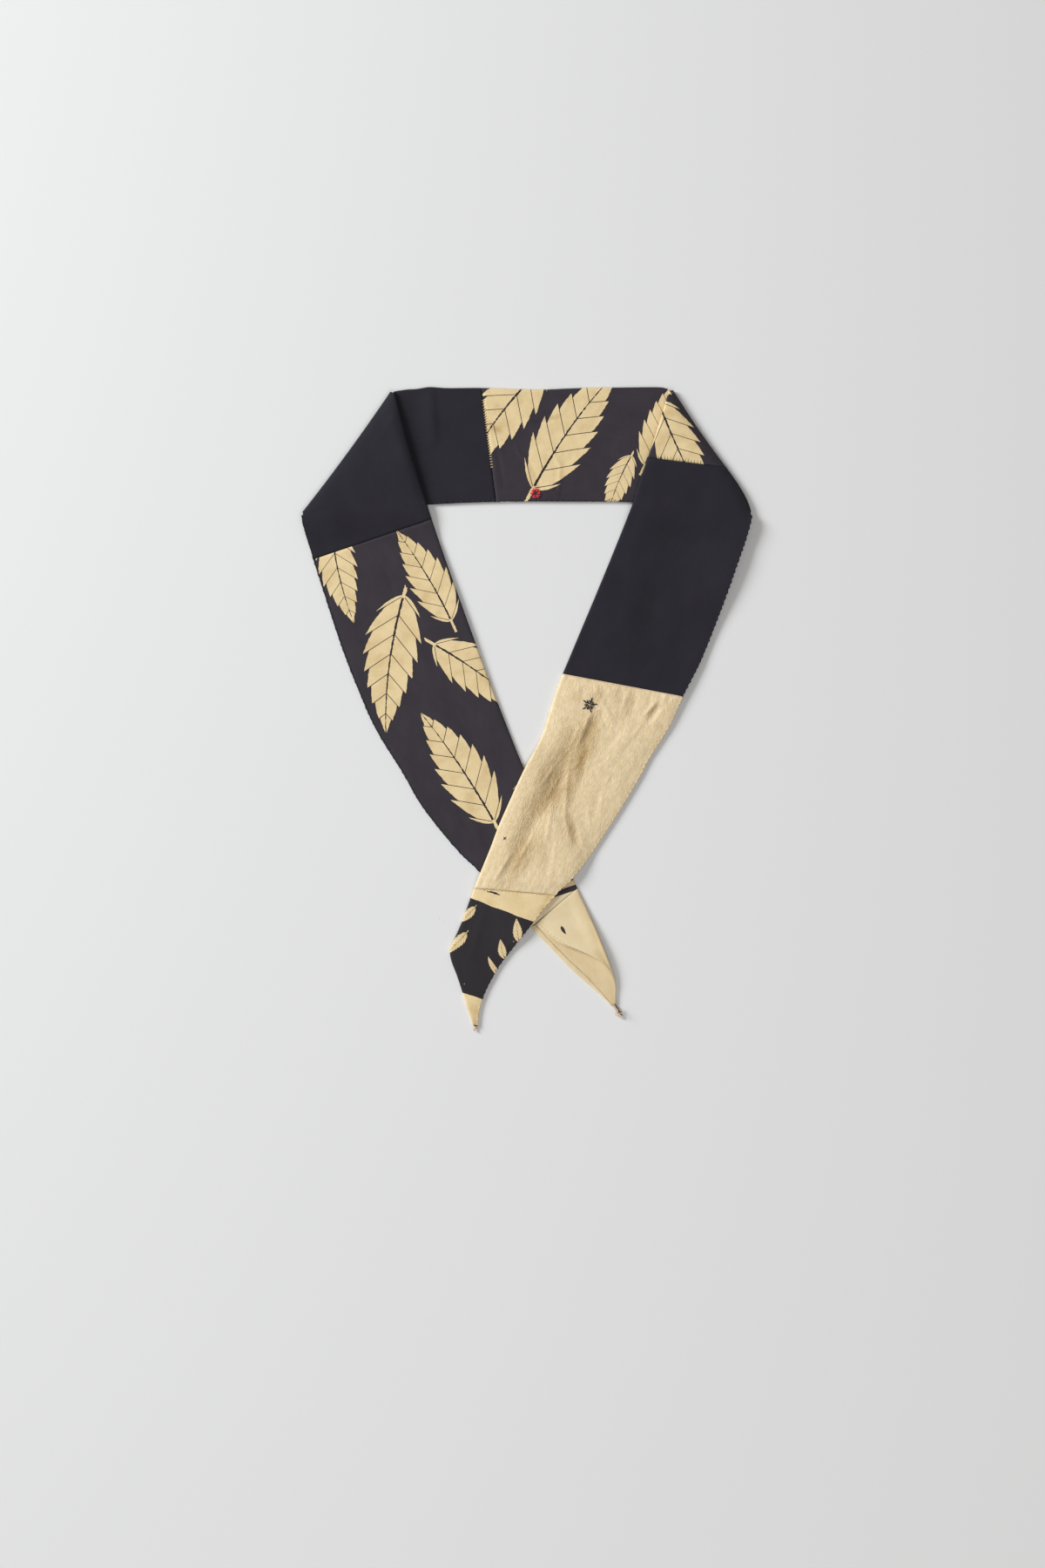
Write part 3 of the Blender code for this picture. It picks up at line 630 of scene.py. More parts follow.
nowhere = 999.0      # a place past the end of any panel
charcoalPrint = {
    "name": "block-printed cotton, charcoal and cream", "roughness": 0.72,
    "ground": ("#2c262d", "#342e36"), "figure": ("#ecd5a5", "#d9be8b"), "stainAndShadeTone": "#b08a52",
    "paleGround": False, "pastLine": "#ebdab5",
    # plain borders: up to one place along the strip and from another, with a dark line at a third
    "borderEnd": -nowhere, "borderStart": 418.2, "lineAt": 424.4, "slant": 0.10,
}
tipPrint = {
    **charcoalPrint, "name": "block-printed cotton, bordered end",
    "ground": ("#221d22", "#292429"), "figure": ("#edd6a6", "#dcc08c"),
    "borderEnd": 438.0, "borderStart": 512.0, "lineAt": nowhere, "slant": 0.0,
}
tailPrint = {
    **charcoalPrint, "name": "printed cotton, cream ground", "roughness": 0.66,
    # the browner tone on the tail is painted shade along its soft edge and under its flap
    "ground": ("#ebdab5", "#e1cb9e"), "figure": ("#352f34", "#2b262a"), "stainAndShadeTone": "#c2a068",
    "paleGround": True, "borderStart": nowhere, "lineAt": nowhere, "slant": 0.0,
}


# Block-printed cotton: the resist leaves cream leaves on charcoal,
# and the dye pooled in a darker line at their edges
def printedCotton(look):
    material, tree, shader = newMaterial(look["name"], {
        "Roughness": look["roughness"], "Specular IOR Level": 0.35,
        "Sheen Weight": 0.12, "Sheen Roughness": 0.4,
    })
    height, slubs = weaveHeight(tree, 0.5, 0.7)        # real threads are 0.3 mm apart
    leaf = addNode(tree, "SeparateXYZ", {"Vector": addNode(tree, "UVMap", {}, uv_map="leafPlace")})
    strand = addNode(tree, "SeparateXYZ", {"Vector": clothMap(tree, 1, 1)})
    made = {
        "leafX": leaf.outputs["X"], "leafY": leaf.outputs["Y"],
        "strandX": strand.outputs["X"], "strandY": strand.outputs["Y"], "slubs": slubs,
    }
    for name, size, detail, rough in (
        ("jitter", (3.2, 3.2), 2, 0.5), ("wander", (16, 16), 3, 0.5),
        ("cloud", (26, 15), 5, 0.62), ("stain", (13, 18), 6, 0.6),
    ):
        made[name] = addNode(tree, "TexNoise", {
            "Vector": clothMap(tree, *size), "Scale": 1, "Detail": detail, "Roughness": rough,
        })
    # each row is a result, what is done, and what it is done to
    for name, work, *operands in (
        ("shake", "MapRange", "jitter", 0, 1, -0.008, 0.008),
        ("off", "ABSOLUTE", "leafY"),
        ("offShaken", "ADD", "off", "shake"),
        ("along", "Clamp", "leafX", 0, 1),
        ("rest", "SUBTRACT", 1, "along"),
        ("swell", "POWER", "along", 0.62),
        ("taper", "POWER", "rest", 1.05),
        ("body", "MULTIPLY", "swell", "taper"),
        ("wide", "MULTIPLY", "body", 0.62),
        # side veins run out and forward from the midrib, and each ends in a tooth
        ("lean", "MULTIPLY_ADD", "off", -0.9, "leafX"),
        ("turns", "MULTIPLY", "lean", 7),
        ("phase", "FRACT", "turns"),
        ("tooth", "MULTIPLY_ADD", "phase", 0.24, 0.76),
        ("toothed", "MULTIPLY", "wide", "tooth"),
        ("inside", "SUBTRACT", "toothed", "offShaken"),
        ("blade", "MapRange", "inside", -0.002, 0.002),
        ("midrib", "MULTIPLY_ADD", "rest", 0.007, 0.002),
        ("clearRib", "GREATER_THAN", "offShaken", "midrib"),
        ("vein", "GREATER_THAN", "phase", 0.05),
        ("solid", "MULTIPLY", "clearRib", "vein"),
        ("shown", "MULTIPLY", "solid", "blade"),
        ("stalkLong", "COMPARE", "leafX", -0.05, 0.07),
        ("stalkThin", "LESS_THAN", "offShaken", 0.012),
        ("stalk", "MULTIPLY", "stalkLong", "stalkThin"),
        ("printed", "MAXIMUM", "shown", "stalk"),
        # the borders wander by a millimetre or two
        ("fromSoft", "ABSOLUTE", "strandY"),
        ("aslant", "MULTIPLY_ADD", "fromSoft", look["slant"], "strandX"),
        ("borderAt", "MULTIPLY_ADD", "wander", 2.4, "aslant"),
        ("before", "LESS_THAN", "borderAt", look["borderEnd"] + 1.2),
        ("after", "GREATER_THAN", "borderAt", look["borderStart"] + 1.2),
        ("either", "MAXIMUM", "before", "after"),
        ("withBorder", "MAXIMUM", "printed", "either"),
        ("line", "COMPARE", "aslant", look["lineAt"], 2.2),
        ("clear", "SUBTRACT", 1, "line"),
        ("mask", "MULTIPLY", "withBorder", "clear"),
        ("pastLine", "GREATER_THAN", "aslant", look["lineAt"]),
        # the darker line round each leaf
        ("beside", "COMPARE", "leafX", 0.5, 0.49),
        ("close", "MapRange", "inside", -0.014, -0.002),
        ("pooled", "MULTIPLY", "close", "beside"),
        # uneven dye, and worn threads
        ("dyed", "MapRange", "cloud", 0.3, 0.7),
        ("worn", "MapRange", "stain", 0.42, 0.74),
        ("streak", "MapRange", "slubs", 0.7, 1.5),
        ("faded", "MULTIPLY_ADD", "streak", 0.35, "worn"),
    ):
        kind, settings = ("Math", {"operation": work}) if work.isupper() else (work, {})
        inputs = {k: made.get(operand, operand) for k, operand in enumerate(operands)}
        made[name] = addNode(tree, kind, inputs, **settings)
    shades = {}
    for name, amount in (("ground", "dyed"), ("figure", "faded")):
        plain, other = look[name]
        shade = {"Factor": made[amount], "A": fromHex(plain), "B": fromHex(other)}
        shades[name] = addNode(tree, "Mix", shade, data_type="RGBA")
    paler = {"Factor": made["pastLine"], "A": shades["figure"], "B": fromHex(look["pastLine"])}
    shades["figure"] = addNode(tree, "Mix", paler, data_type="RGBA")
    # real stains on the printed band and tip; on the tail, painted shade along its soft edge and under its
    # flap
    cream = "ground" if look["paleGround"] else "figure"
    shades[cream] = addStainsAndShade(tree, shades[cream], look["stainAndShadeTone"])
    edge = {"Factor": made["pooled"], "A": shades["ground"], "B": fromHex("#2a2123")}
    edged = addNode(tree, "Mix", edge, data_type="RGBA")
    whole = {"Factor": made["mask"], "A": edged, "B": shades["figure"]}
    fillInputs(tree, shader, {
        "Base Color": addNode(tree, "Mix", whole, data_type="RGBA"),
        "Normal": addNode(tree, "Bump", {"Height": height, "Distance": 0.00007, "Strength": 0.7}),
    })
    return material


# Silk habotai, soft and washed: a low gloss, fine crinkles along the strip and a mottle of wear
def washedSilk():
    material, tree, shader = newMaterial("silk habotai, cream", {
        "Roughness": 0.46, "Specular IOR Level": 0.5, "Sheen Weight": 0.25, "Sheen Roughness": 0.3,
    })
    weave, slubs = weaveHeight(tree, 0.36, 0.9)       # real threads are 0.12 mm apart, far too fine to show
    # washed silk dries in sharp little creases: two sizes of ridged noise, both longer along the strip
    creases = []
    for long, wide, twist in ((9.0, 4.2, 1.2), (3.4, 2.0, 0.8)):
        crinkle = addNode(tree, "TexNoise", {
            "Vector": clothMap(tree, long, wide), "Scale": 1,
            "Detail": 3, "Roughness": 0.55, "Distortion": twist,
        })
        ridged = addNode(tree, "Math", {0: crinkle, 1: 0.5}, operation="SUBTRACT")
        folded = addNode(tree, "Math", {0: ridged}, operation="ABSOLUTE")
        creases.append(addNode(tree, "Math", {0: folded, 1: 0.7}, operation="POWER"))
    stain = addNode(tree, "TexNoise", {
        "Vector": clothMap(tree, 5, 3.4), "Scale": 1, "Detail": 7, "Roughness": 0.68,
    })
    worn = addNode(tree, "MapRange", {"Value": stain, "From Min": 0.4, "From Max": 0.72})
    streak = addNode(tree, "MapRange", {"Value": slubs, "From Min": 0.7, "From Max": 1.5})
    mixed = addNode(tree, "Math", {0: streak, 1: 0.5, 2: worn}, operation="MULTIPLY_ADD")
    shade = {"Factor": mixed, "A": fromHex("#f1dcb5"), "B": fromHex("#e2c898")}
    colour = addNode(tree, "Mix", shade, data_type="RGBA")
    # creased deeper where the painted crease shade is marked
    marked = addNode(tree, "Attribute", {}, attribute_name="worn")
    deep = addNode(tree, "MapRange", {
        "Value": marked.outputs["Fac"], "From Max": 0.5, "To Min": 0.45, "To Max": 1.25,
    })
    gathered = addNode(tree, "Math", {0: creases[0], 1: deep}, operation="MULTIPLY")
    under = {}
    bumps = ((gathered, 0.0012, 0.75), (creases[1], 0.0004, 0.7), (weave, 0.00006, 0.8))
    for height, distance, strength in bumps:
        bump = addNode(tree, "Bump", {"Height": height, "Distance": distance, "Strength": strength, **under})
        under = {"Normal": bump}
    # the browner tone is painted shade in the crease troughs, where the marks lie
    fillInputs(tree, shader, {"Base Color": addStainsAndShade(tree, colour, "#a98547"), "Normal": bump})
    return material


# Cotton sewing thread: matt, two-ply, so a fine slanting twist
def sewingThread(name, colour, shade):
    finish = {"Roughness": 0.7, "Specular IOR Level": 0.35, "Sheen Weight": 0.15}
    material, tree, shader = newMaterial(name, finish)
    where = addNode(tree, "TexCoord", {}).outputs["Object"]
    fine = addNode(tree, "TexNoise", {"Vector": where, "Scale": 1900, "Detail": 3})   # 0.5 mm fibres
    fibres = {"Factor": fine, "A": fromHex(colour), "B": fromHex(shade)}
    fillInputs(tree, shader, {
        "Base Color": addNode(tree, "Mix", fibres, data_type="RGBA"),
        "Normal": addNode(tree, "Bump", {"Height": fine, "Distance": 0.0001, "Strength": 0.6}),
    })
    return material


lawn = dyedLawn()
printCloth = printedCotton(charcoalPrint)
tipCloth = printedCotton(tipPrint)
tailCloth = printedCotton(tailPrint)
silk = washedSilk()
creamThread = sewingThread("cotton thread, cream", "#d9c498", "#b79c6c")
paleThread = sewingThread("cotton thread, pale pink cream", "#e9d6bd", "#cdb08c")
darkThread = sewingThread("cotton thread, black", "#1d1b20", "#2b282e")
charcoalThread = sewingThread("cotton thread, charcoal", "#3b3842", "#2f2c35")
redThread = sewingThread("embroidery cotton, red", "#ea3047", "#c82338")

plainLook = {
    # each crease, stain and patch of painted shade: from x, y to x, y, how wide, and how high or how brown
    "creases": [], "stainsAndShade": [], "lowerTintAndShade": 0.0,
    # each printed leaf: place along and across the strip, heading, length and bend
    "leaves": [],
    "wall": strip["wall"], "sway": 0.22, "ripple": 0.04, "loft": 0.0, "crumple": 0.0,
    "gather": 0.10, "gatherStep": 5.0, "gatherReach": 9.0,
    "pucker": 0.22, "puckerStep": 4.4, "wobble": 0.16,
}

panels = []


def makePanel(name, node, material, look, seamList, rows, cut=None):
    # a panel from its sections; its flat size is worked out from them unless the cut is given
    piece, area = makeCloth(name, rows, seamList, look)
    run = ((seamList[-1][0] - seamList[0][0]) + (seamList[-1][1] - seamList[0][1])) / 2
    width = max(abs(spot[3]) for row in rows for spot in row)
    flat, area = cut or ((2 * width * mm, run * mm), area)
    piece.data.materials.append(material)
    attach(piece, "root")
    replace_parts(piece, node)
    panels.append(piece)


def cornerRows(leg, seamList):
    rows = []
    for seam in seamList:
        places, outward = cornerPlaces(leg, seam)
        rows.append(tubeRow(places, outward, min(strip["groove"], places[-1][3] * 0.4)))
    return rows


def legRows(leg, seamList, count=legFaces):
    rows = []
    for seam in seamList:
        start, end = innerEdge(leg, seam[0]), outerEdge(leg, seam[1])
        length = (end - start).length
        places = placesAcross(leg, seam, spreadOut(length, count, strip["endFine"]), start, end, 0.0)
        rows.append(tubeRow(places, None, min(strip["groove"], length * 0.25)))
    return rows


gap = 0.03      # the cloth closes the space that the solids keep

# left part of the band, the left corner and the top of the left leg
bandLeft = {
    **plainLook, "seed": 2.0,
    "creases": [
        (-77, 257, -74, 216, 6, 0.9), (-92, 252, -88, 205, 8, -0.35), (-128, 190, -150, 150, 16, 0.25),
    ],
    # painted shade: the shadow beside the left leg's rolled edge over the band, and a fainter patch lower
    # down
    "stainsAndShade": [
        (-96, 244, -80, 176, 12, 0.4), (-150, 168, -142, 140, 14, 0.2),
    ],
}
bandLeftSeams = route([
    shifted(seams["band"], gap), (-12, -12), (0, 0), (1.2, 1.2), (5, 5),
    (68, 68), (72.4, 72.4), (73.7, 73.7), shifted(seams["leftLeg"], -gap),
], strip["rowStep"])
makePanel(
    "bandLeftPlain", "band_left_plain", lawn, bandLeft, bandLeftSeams,
    cornerRows(leftLeg, bandLeftSeams),
)

# middle and right part of the band, with the right corner
bandRight = {
    **plainLook, "seed": 3.0, "sway": 0.3, "ripple": 0.09, "gather": 0.2,
    "creases": [
        (-26, 222, -18, 178, 2.2, -0.35), (-8, 211, -3, 199, 1.3, 0.45),
        (-2.5, 204.5, 2.5, 191, 1.4, 0.5), (6, 192, 14, 168, 2.4, -0.4), (8, 233, 28, 235.5, 1.4, 0.4),
        (8, 228, 26, 232, 1.5, -0.35), (-32, 216, -20, 206, 3.5, 0.35), (23, 202, 27.5, 195, 1.5, 0.5),
        (27.5, 195, 26, 172, 1.6, 0.5), (18, 180, 26, 168, 3, 0.45),
    ],
    "stainsAndShade": [
        (-27, 226, -21, 223, 3.4, 0.65), (-32, 232, -30, 228, 2, 0.4), (-10, 200, -6, 190, 3, 0.25),
        (9, 231, 22, 233, 1.6, 0.3), (24, 171, 29, 167, 2.4, 0.6), (-30, 205, -24, 190, 3, 0.25),
    ],
    "leaves": [
        (-133, 25, 126, 108, 0.16), (-76, 34, -54, 114, -0.14), (-40, 79, 112, 52, 0.14),
        (-7, 28, -70, 74, 0.10), (46, -27, -44, 94, 0.12), (-118, -59, 58, 82, 0.12),
        (-62, -58, -56, 86, -0.14), (-10, -58, 62, 84, 0.14),
    ],
}
bandRightSeams = route([
    shifted(seams["bandFromRight"], gap), (-14, -12), (0, 0), (1.2, 1.0), (5, 4),
    shifted(seams["rightBand"], -gap),
], strip["rowStep"])
makePanel(
    "bandRightPrint", "band_right_print", printCloth, bandRight, bandRightSeams,
    cornerRows(rightLeg, bandRightSeams),
)

# printed panel of the left leg
legLeft = {
    **plainLook, "seed": 4.0, "sway": 0.3, "ripple": 0.08, "gather": 0.18, "pucker": 0.36, "wobble": 0.28,
    "creases": [
        (-104, 120, -98, 96, 2.4, 0.3), (-112, 112, -104, 88, 2.6, -0.28), (-90, 20, -60, 2, 5, 0.3),
        (-70, -30, -40, -50, 5, -0.3), (-50, -70, -36, -110, 4, 0.35),
    ],
    "leaves": [
        (126, 82, 6, 80, 0.14), (148, 21, 168, 84, 0.12), (206, 67, 28, 110, 0.14),
        (240, 6, -34, 92, -0.12), (300, 50, 168, 104, 0.12), (366, 14, 24, 84, 0.12),
        (148, -52, 40, 94, 0.12), (216, -62, -36, 84, -0.12), (288, -52, 34, 94, 0.12),
        (370, -44, -30, 84, 0.12),
    ],
}
legLeftSeams = route([shifted(seams["leftLeg"], gap), shifted(seams["leftTail"], -gap)], strip["rowStep"])
makePanel(
    "legLeftPrint", "leg_left_print", printCloth, legLeft, legLeftSeams,
    legRows(leftLeg, legLeftSeams),
)

# plain panel of the right leg
legRight = {
    **plainLook, "seed": 5.0,
    "creases": [
        (104, 178, 84, 120, 9, 0.35), (120, 150, 96, 70, 12, -0.3), (140, 120, 128, 60, 9, 0.3),
    ],
    # painted shade: soft dark streaks where the cloth slopes away from the light
    "stainsAndShade": [
        (133, 170, 102, 98, 17, 0.3), (126, 76, 110, 22, 12, 0.25), (98, 92, 90, 44, 16, 0.35),
    ],
}
legRightSeams = route([
    shifted(seams["rightBand"], gap), (77, 68.5), (78.6, 72.4), (79.4, 73.7), (96, 92),
    shifted(seams["rightSilk"], -gap),
], strip["rowStep"])
makePanel(
    "legRightPlain", "leg_right_plain", lawn, legRight, legRightSeams,
    cornerRows(rightLeg, legRightSeams),
)

# silk panel of the right leg, over the left leg
legSilk = {
    **plainLook, "seed": 6.0, "sway": 0.4, "ripple": 0.2, "loft": 1.2, "crumple": 0.07, "pucker": 0.4,
    "gather": 0.55, "gatherStep": 3.6, "gatherReach": 11.0,
    "creases": [
        # the long trough from the black mark down to the crossing
        (56, -10, 45, -32, 5.5, -0.9), (40, -22, 32, -44, 7, -1), (33, -44, 21, -68, 9, -1.5),
        (21, -68, 9, -88, 9, -1.5), (9, -88, -5, -114, 7, -1), (-5, -114, -16, -138, 5, -0.5),
        # the sharp ridges beside it, each with its shadow on the right
        (52, -4, 41, -30, 1.7, 1.2), (44, -14, 36, -32, 1.7, 0.8), (37, -34, 33, -52, 1.6, 0.8),
        (34, -50, 31, -86, 1.8, 0.8), (31, -86, 36, -108, 1.8, 0.6), (49, -30, 44, -58, 4, -0.9),
        (53, -12, 49, -24, 2.6, -0.7), (37, -90, 42, -112, 3.4, -0.5), (28, -54, 17, -72, 1.4, 0.5),
        (24, -46, 12, -62, 1.5, 0.45),
        # short sharp ones that start at the upper seam and round the mark
        (43.6, 17.3, 41.8, 6.3, 1.4, 0.5), (54.9, 19, 58.7, 10, 1.5, 0.6), (61, 5, 69, -9, 1.5, 0.55),
        (59, -2, 66, -19, 1.6, -0.5), (67, 16, 66, 8, 1.2, 0.35), (82.5, 14.8, 77, -1, 1.5, 0.55),
        (88, 12, 84, -8, 2.4, -0.4), (105, 5, 95, -7, 1.5, 0.9), (109, 2, 99, -10, 2.4, -0.8),
        (101, 9, 97, 0, 1.4, -0.4), (96, -9, 82, -27, 1.8, 0.45), (86, -14, 70, -40, 4.5, 0.5),
        (78, -20, 66, -36, 1.5, 0.35),
        # faint ones lower down
        (67.4, -53, 64.5, -61, 1.2, 0.5), (62, -66, 58, -84, 1.5, 0.3), (50, -80, 50, -91, 1.2, 0.4),
        (60, -64, 54, -86, 4, -0.3), (21, -80, 16, -106, 1.4, 0.5), (12, -86, 2, -110, 1.6, 0.4),
        (4, -104, -8, -126, 1.5, 0.45), (-13, -118, -24, -137, 1.3, 0.75),
        (-9, -118, -18, -136, 2.2, -0.5), (2, -120, -6, -134, 1.3, 0.4),
        (14, -116, 10, -126, 1.2, 0.35), (24, -104, 22, -122, 1.4, 0.3), (20, -118, 13, -144, 3, -0.25),
    ],
    # painted shade, browner, in the crease troughs and beside the sharp ridges
    "stainsAndShade": [
        (55, -4, 53, -18, 7, 0.5), (53, -18, 47, -38, 9.5, 0.65), (47, -38, 40, -58, 9, 0.6),
        (37, -62, 35, -76, 5, 0.45), (43, -14, 35, -32, 8.5, 0.32), (35, -32, 26, -50, 12.5, 0.42),
        (25, -52, 17, -70, 15.5, 0.5), (16, -72, 3, -90, 11.5, 0.48), (27, -65, 20, -80, 6.5, 0.38),
        (33, -52, 31, -62, 5, 0.22), (0, -92, -10, -112, 7, 0.3), (6, -98, 0, -124, 6.5, 0.35),
        (-2, -112, -12, -136, 9, 0.6), (14, -104, 10, -124, 5, 0.3), (104, 3, 97, -7, 3, 0.5),
        (34.5, -88, 38, -106, 5.5, 0.5), (60, 14, 54, 4, 5, 0.4), (42, 14, 40, 6, 3.5, 0.35),
        (75, 16, 73, 4, 3.5, 0.3), (-32, -150, -4, -152, 4, 0.25), (86, 10, 78, -6, 5, 0.25),
        (66, -40, 52, -80, 7, 0.06),
    ],
}
legSilkSeams = route([shifted(seams["rightSilk"], gap), shifted(seams["rightTip"], -gap)], strip["silkStep"])
makePanel(
    "legRightSilk", "leg_right_silk", silk, legSilk, legSilkSeams,
    legRows(rightLeg, legSilkSeams, count=82),
)

# printed end of the right leg
tipRight = {
    **plainLook, "seed": 7.0, "sway": 0.3, "ripple": 0.1,
    "gather": 0.5, "gatherStep": 4.0, "gatherReach": 8.0,
    "creases": [
        (-30, -150, -44, -200, 4, 0.3),
    ],
    "stainsAndShade": [
        (-43, -246, -42, -268, 7, 0.55), (12, -162, 15, -160, 3, 0.4), (16, -150, 22, -156, 4, 0.2),
    ],
    "leaves": [
        (449, 46, 208, 20, 0.1), (468, 40, 214, 17, 0.1), (484, 34, 204, 14, 0.1),
        (452, 2, -26, 18, 0.1), (476, 3, -22, 22, 0.1), (452, -46, 150, 20, 0.1),
        (474, -34, 146, 16, 0.1),
    ],
}
tipSeams = route([shifted(seams["rightTip"], gap), shifted(seams["rightEnd"], -gap)], strip["rowStep"])
makePanel(
    "tipRightPrint", "tip_right_print", tipCloth, tipRight, tipSeams,
    legRows(rightLeg, tipSeams, count=36),
)

print("panels done")


tailStations = [426, 438, 446, 454, 463, 476, 486, 495, 503, 510, 517, 523]
tail = {
    # how far the flap's open edge and the hem's inner edge lie from the leg's line
    "edge": smoothCurve(
        tailStations,
        [41.5, 39.6, 36.7, 32.2, 26.2, 14.3, 6.4, 1.8, 0.3, 1.6, 4.9, 7.2],
    ),
    "hem": smoothCurve(
        tailStations,
        [45.2, 40.4, 37.3, 34.6, 31.2, 26.2, 21.8, 18.2, 15.4, 13.1, 10.9, 8.9],
    ),
    "curl": (2.4, 440.0, 474.0, 516.0),      # the flap curls up along its open edge
    "lift": (3.2, 430.0, 484.0, 520.0),      # its soft edge stands off the table too
    "settle": 9.0,                           # how far in that settles
    "tucked": 0.5,                           # it starts under the edge of the printed panel
    "wall": 0.7,
}


def tailRow(seam):
    hemOffset = tail["hem"](seam[1])
    edgeOffset = tail["edge"](seam[1])
    soft = innerEdge(leftLeg, seam[0])
    hem = legPoint(leftLeg, seam[1], hemOffset - gap)
    width = (hem - soft).length
    across = (hem - soft) / width
    flap = width - max(hemOffset - edgeOffset, 0.6)
    lift, *run = tail["curl"]
    curl = lift * hump(seam[1], *run)
    lift, *run = tail["lift"]
    raised = lift * hump(seam[0], *run)
    row = []
    for distance in reversed(spreadOut(flap, 26)):
        z = half + softHalf(distance) + curl * ease(distance / flap) ** 2
        z += raised * math.exp(-distance / tail["settle"])
        spot = soft + across * distance
        row.append((spot.x, spot.y, z, distance, 1.0, flap - distance))
    for distance in spreadOut(width, 30)[1:]:
        z = half - softHalf(distance) + 0.2 * ease(distance / 6)
        z += raised * math.exp(-distance / tail["settle"])
        spot = soft + across * distance
        row.append((spot.x, spot.y, z, -distance, -1.0, width - distance))
    return row


tailLook = {
    **plainLook, "seed": 8.0, "sway": 0.3, "ripple": 0.1, "gather": 0.0, "pucker": 0.0, "wobble": 0.0,
    # the lower layer is darker and browner: partly its own tint, partly painted shade under the flap
    "wall": tail["wall"], "lowerTintAndShade": 0.3,
    # painted shade along the rounded soft edge, where it turns away from the light
    "stainsAndShade": [
        (48, -154, 63, -198, 7, 0.42), (40, -146, 46, -156, 5, 0.25), (63, -200, 68, -212, 4, 0.35),
    ],
    "creases": [
        (40, -152, 56, -194, 5, 0.35), (32, -152, 46, -190, 6, -0.25),
    ],
    "leaves": [
        (452, 25, -8, 7.5, 0.1),
    ],
}
tailEnds = [shifted(seams["leftTail"], -tail["tucked"]), shifted(seams["leftEnd"], -gap)]
tailSeams = route(tailEnds, strip["tailStep"])
makePanel(
    "tailLeftCream", "tail_left_cream", tailCloth, tailLook, tailSeams,
    [tailRow(seam) for seam in tailSeams],
)


def hemRow(seam):
    # a folded strip with the raw edges turned under
    first = legPoint(leftLeg, seam[1], tail["hem"](seam[1]) + gap)
    last = outerEdge(leftLeg, seam[1])
    wide = (last - first).length
    # each point of its section: share across, height, and whether it looks up or down
    section = [
        (0.0, 0.35, 0.0), (0.1, 0.02, 0.0), (0.5, 0.0, -1.0), (0.9, 0.02, -1.0),
        (1.0, 0.4, 0.0), (1.0, 0.8, 0.0), (0.9, 1.18, 1.0), (0.7, 1.3, 1.0),
        (0.4, 1.3, 1.0), (0.12, 1.15, 1.0), (0.0, 0.7, 0.0),
    ]
    row = []
    for k, (share, z, looks) in enumerate(section):
        spot = first + (last - first) * share
        row.append((spot.x, spot.y, z, k * wide * 0.22, looks, 4.0))
    return row


hemLook = {**tailLook, "seed": 9.0, "leaves": [], "creases": [], "ripple": 0.35, "wall": 0.3}
makePanel(
    "tailLeftHem", "tail_left_hem", tailCloth, hemLook, tailSeams,
    [hemRow(seam) for seam in tailSeams], cut=((0.0105, 0.0845), 0.0007),
)

print("tail done")


def makePiece(name, thread, material):
    mesh = bpy.data.meshes.new(name)
    for face in thread.faces:
        face.smooth = True
    thread.to_mesh(mesh)
    thread.free()
    piece = bpy.data.objects.new(name, mesh)
    bpy.context.scene.collection.objects.link(piece)
    mesh.materials.append(material)
    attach(piece, "root")
    return piece


zUp = Vector((0, 0, 1))


def threadPath(thread, points, radius, sides=6):
    # a thread along a path: a grid rolled up into a tube, section by section
    steps = len(points) - 1
    made = bmesh.ops.create_grid(thread, x_segments=steps, y_segments=sides, size=1.0)["verts"]
    for vert in made:
        k = round((vert.co.x + 1) / 2 * steps)
        angle = (vert.co.y + 1) / 2 * math.tau
        ahead = (points[min(k + 1, steps)] - points[max(k - 1, 0)]).normalized()
        side = ahead.cross(zUp).normalized() if abs(ahead.z) < 0.95 else Vector((1, 0, 0))
        up = side.cross(ahead)
        vert.co = points[k] + (side * math.cos(angle) + up * math.sin(angle)) * radius * mm
    bmesh.ops.remove_doubles(thread, verts=made, dist=1e-7)
    bmesh.ops.holes_fill(thread, edges=[e for e in thread.edges if e.is_boundary])


def makeBinding(name, node, look):
    # thread wound round the gathered point, with loops at its end
    start, end = (toWorld(look[place], look["radius"] * 0.75) for place in ("start", "end"))
    length = (end - start).length
    ahead = (end - start) / length
    side = Vector((-ahead.y, ahead.x, 0))
    thread = bmesh.new()
    core = bmesh.ops.create_uvsphere(thread, u_segments=14, v_segments=10, radius=1.0)["verts"]
    for vert in core:
        fat = look["radius"] * (0.62 + 0.2 * vert.co.z) * mm
        spot = vert.co.copy()
        around = side * spot.x + zUp * spot.y * 0.7
        vert.co = start + ahead * (spot.z * 0.5 + 0.5) * length + around * fat
    facets = 12
    wound = []
    for k in range(look["turns"] * facets + 1):
        share = k / (look["turns"] * facets)
        angle = math.tau * k / facets
        wide = look["radius"] * (0.74 + 0.26 * share ** 1.5) * mm
        place = start + ahead * (0.06 + look["wound"] * share) * length
        wide *= 1 + 0.08 * noise.noise((angle * 0.35, look["radius"], 2.0))
        wound.append(place + side * wide * math.cos(angle) + zUp * wide * 0.72 * math.sin(angle))
    threadPath(thread, wound, look["thread"])
    for turned, long, wide, lift in look["loops"]:
        heading = ahead.copy()
        heading.rotate(Matrix.Rotation(math.radians(turned), 3, "Z"))
        across = Vector((-heading.y, heading.x, 0))
        centre = end - ahead * 0.12 * length
        loop = []
        for k in range(facets + 1):
            angle = math.tau * k / facets
            reach = heading * (0.5 - 0.5 * math.cos(angle)) * long
            bulge = across * wide * math.sin(angle) + zUp * lift * math.sin(angle / 2)
            loop.append(centre + (reach + bulge) * mm)
        threadPath(thread, loop, look["thread"] * 0.9)
    bmesh.ops.recalc_face_normals(thread, faces=thread.faces)
    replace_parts(makePiece(name, thread, paleThread), node)


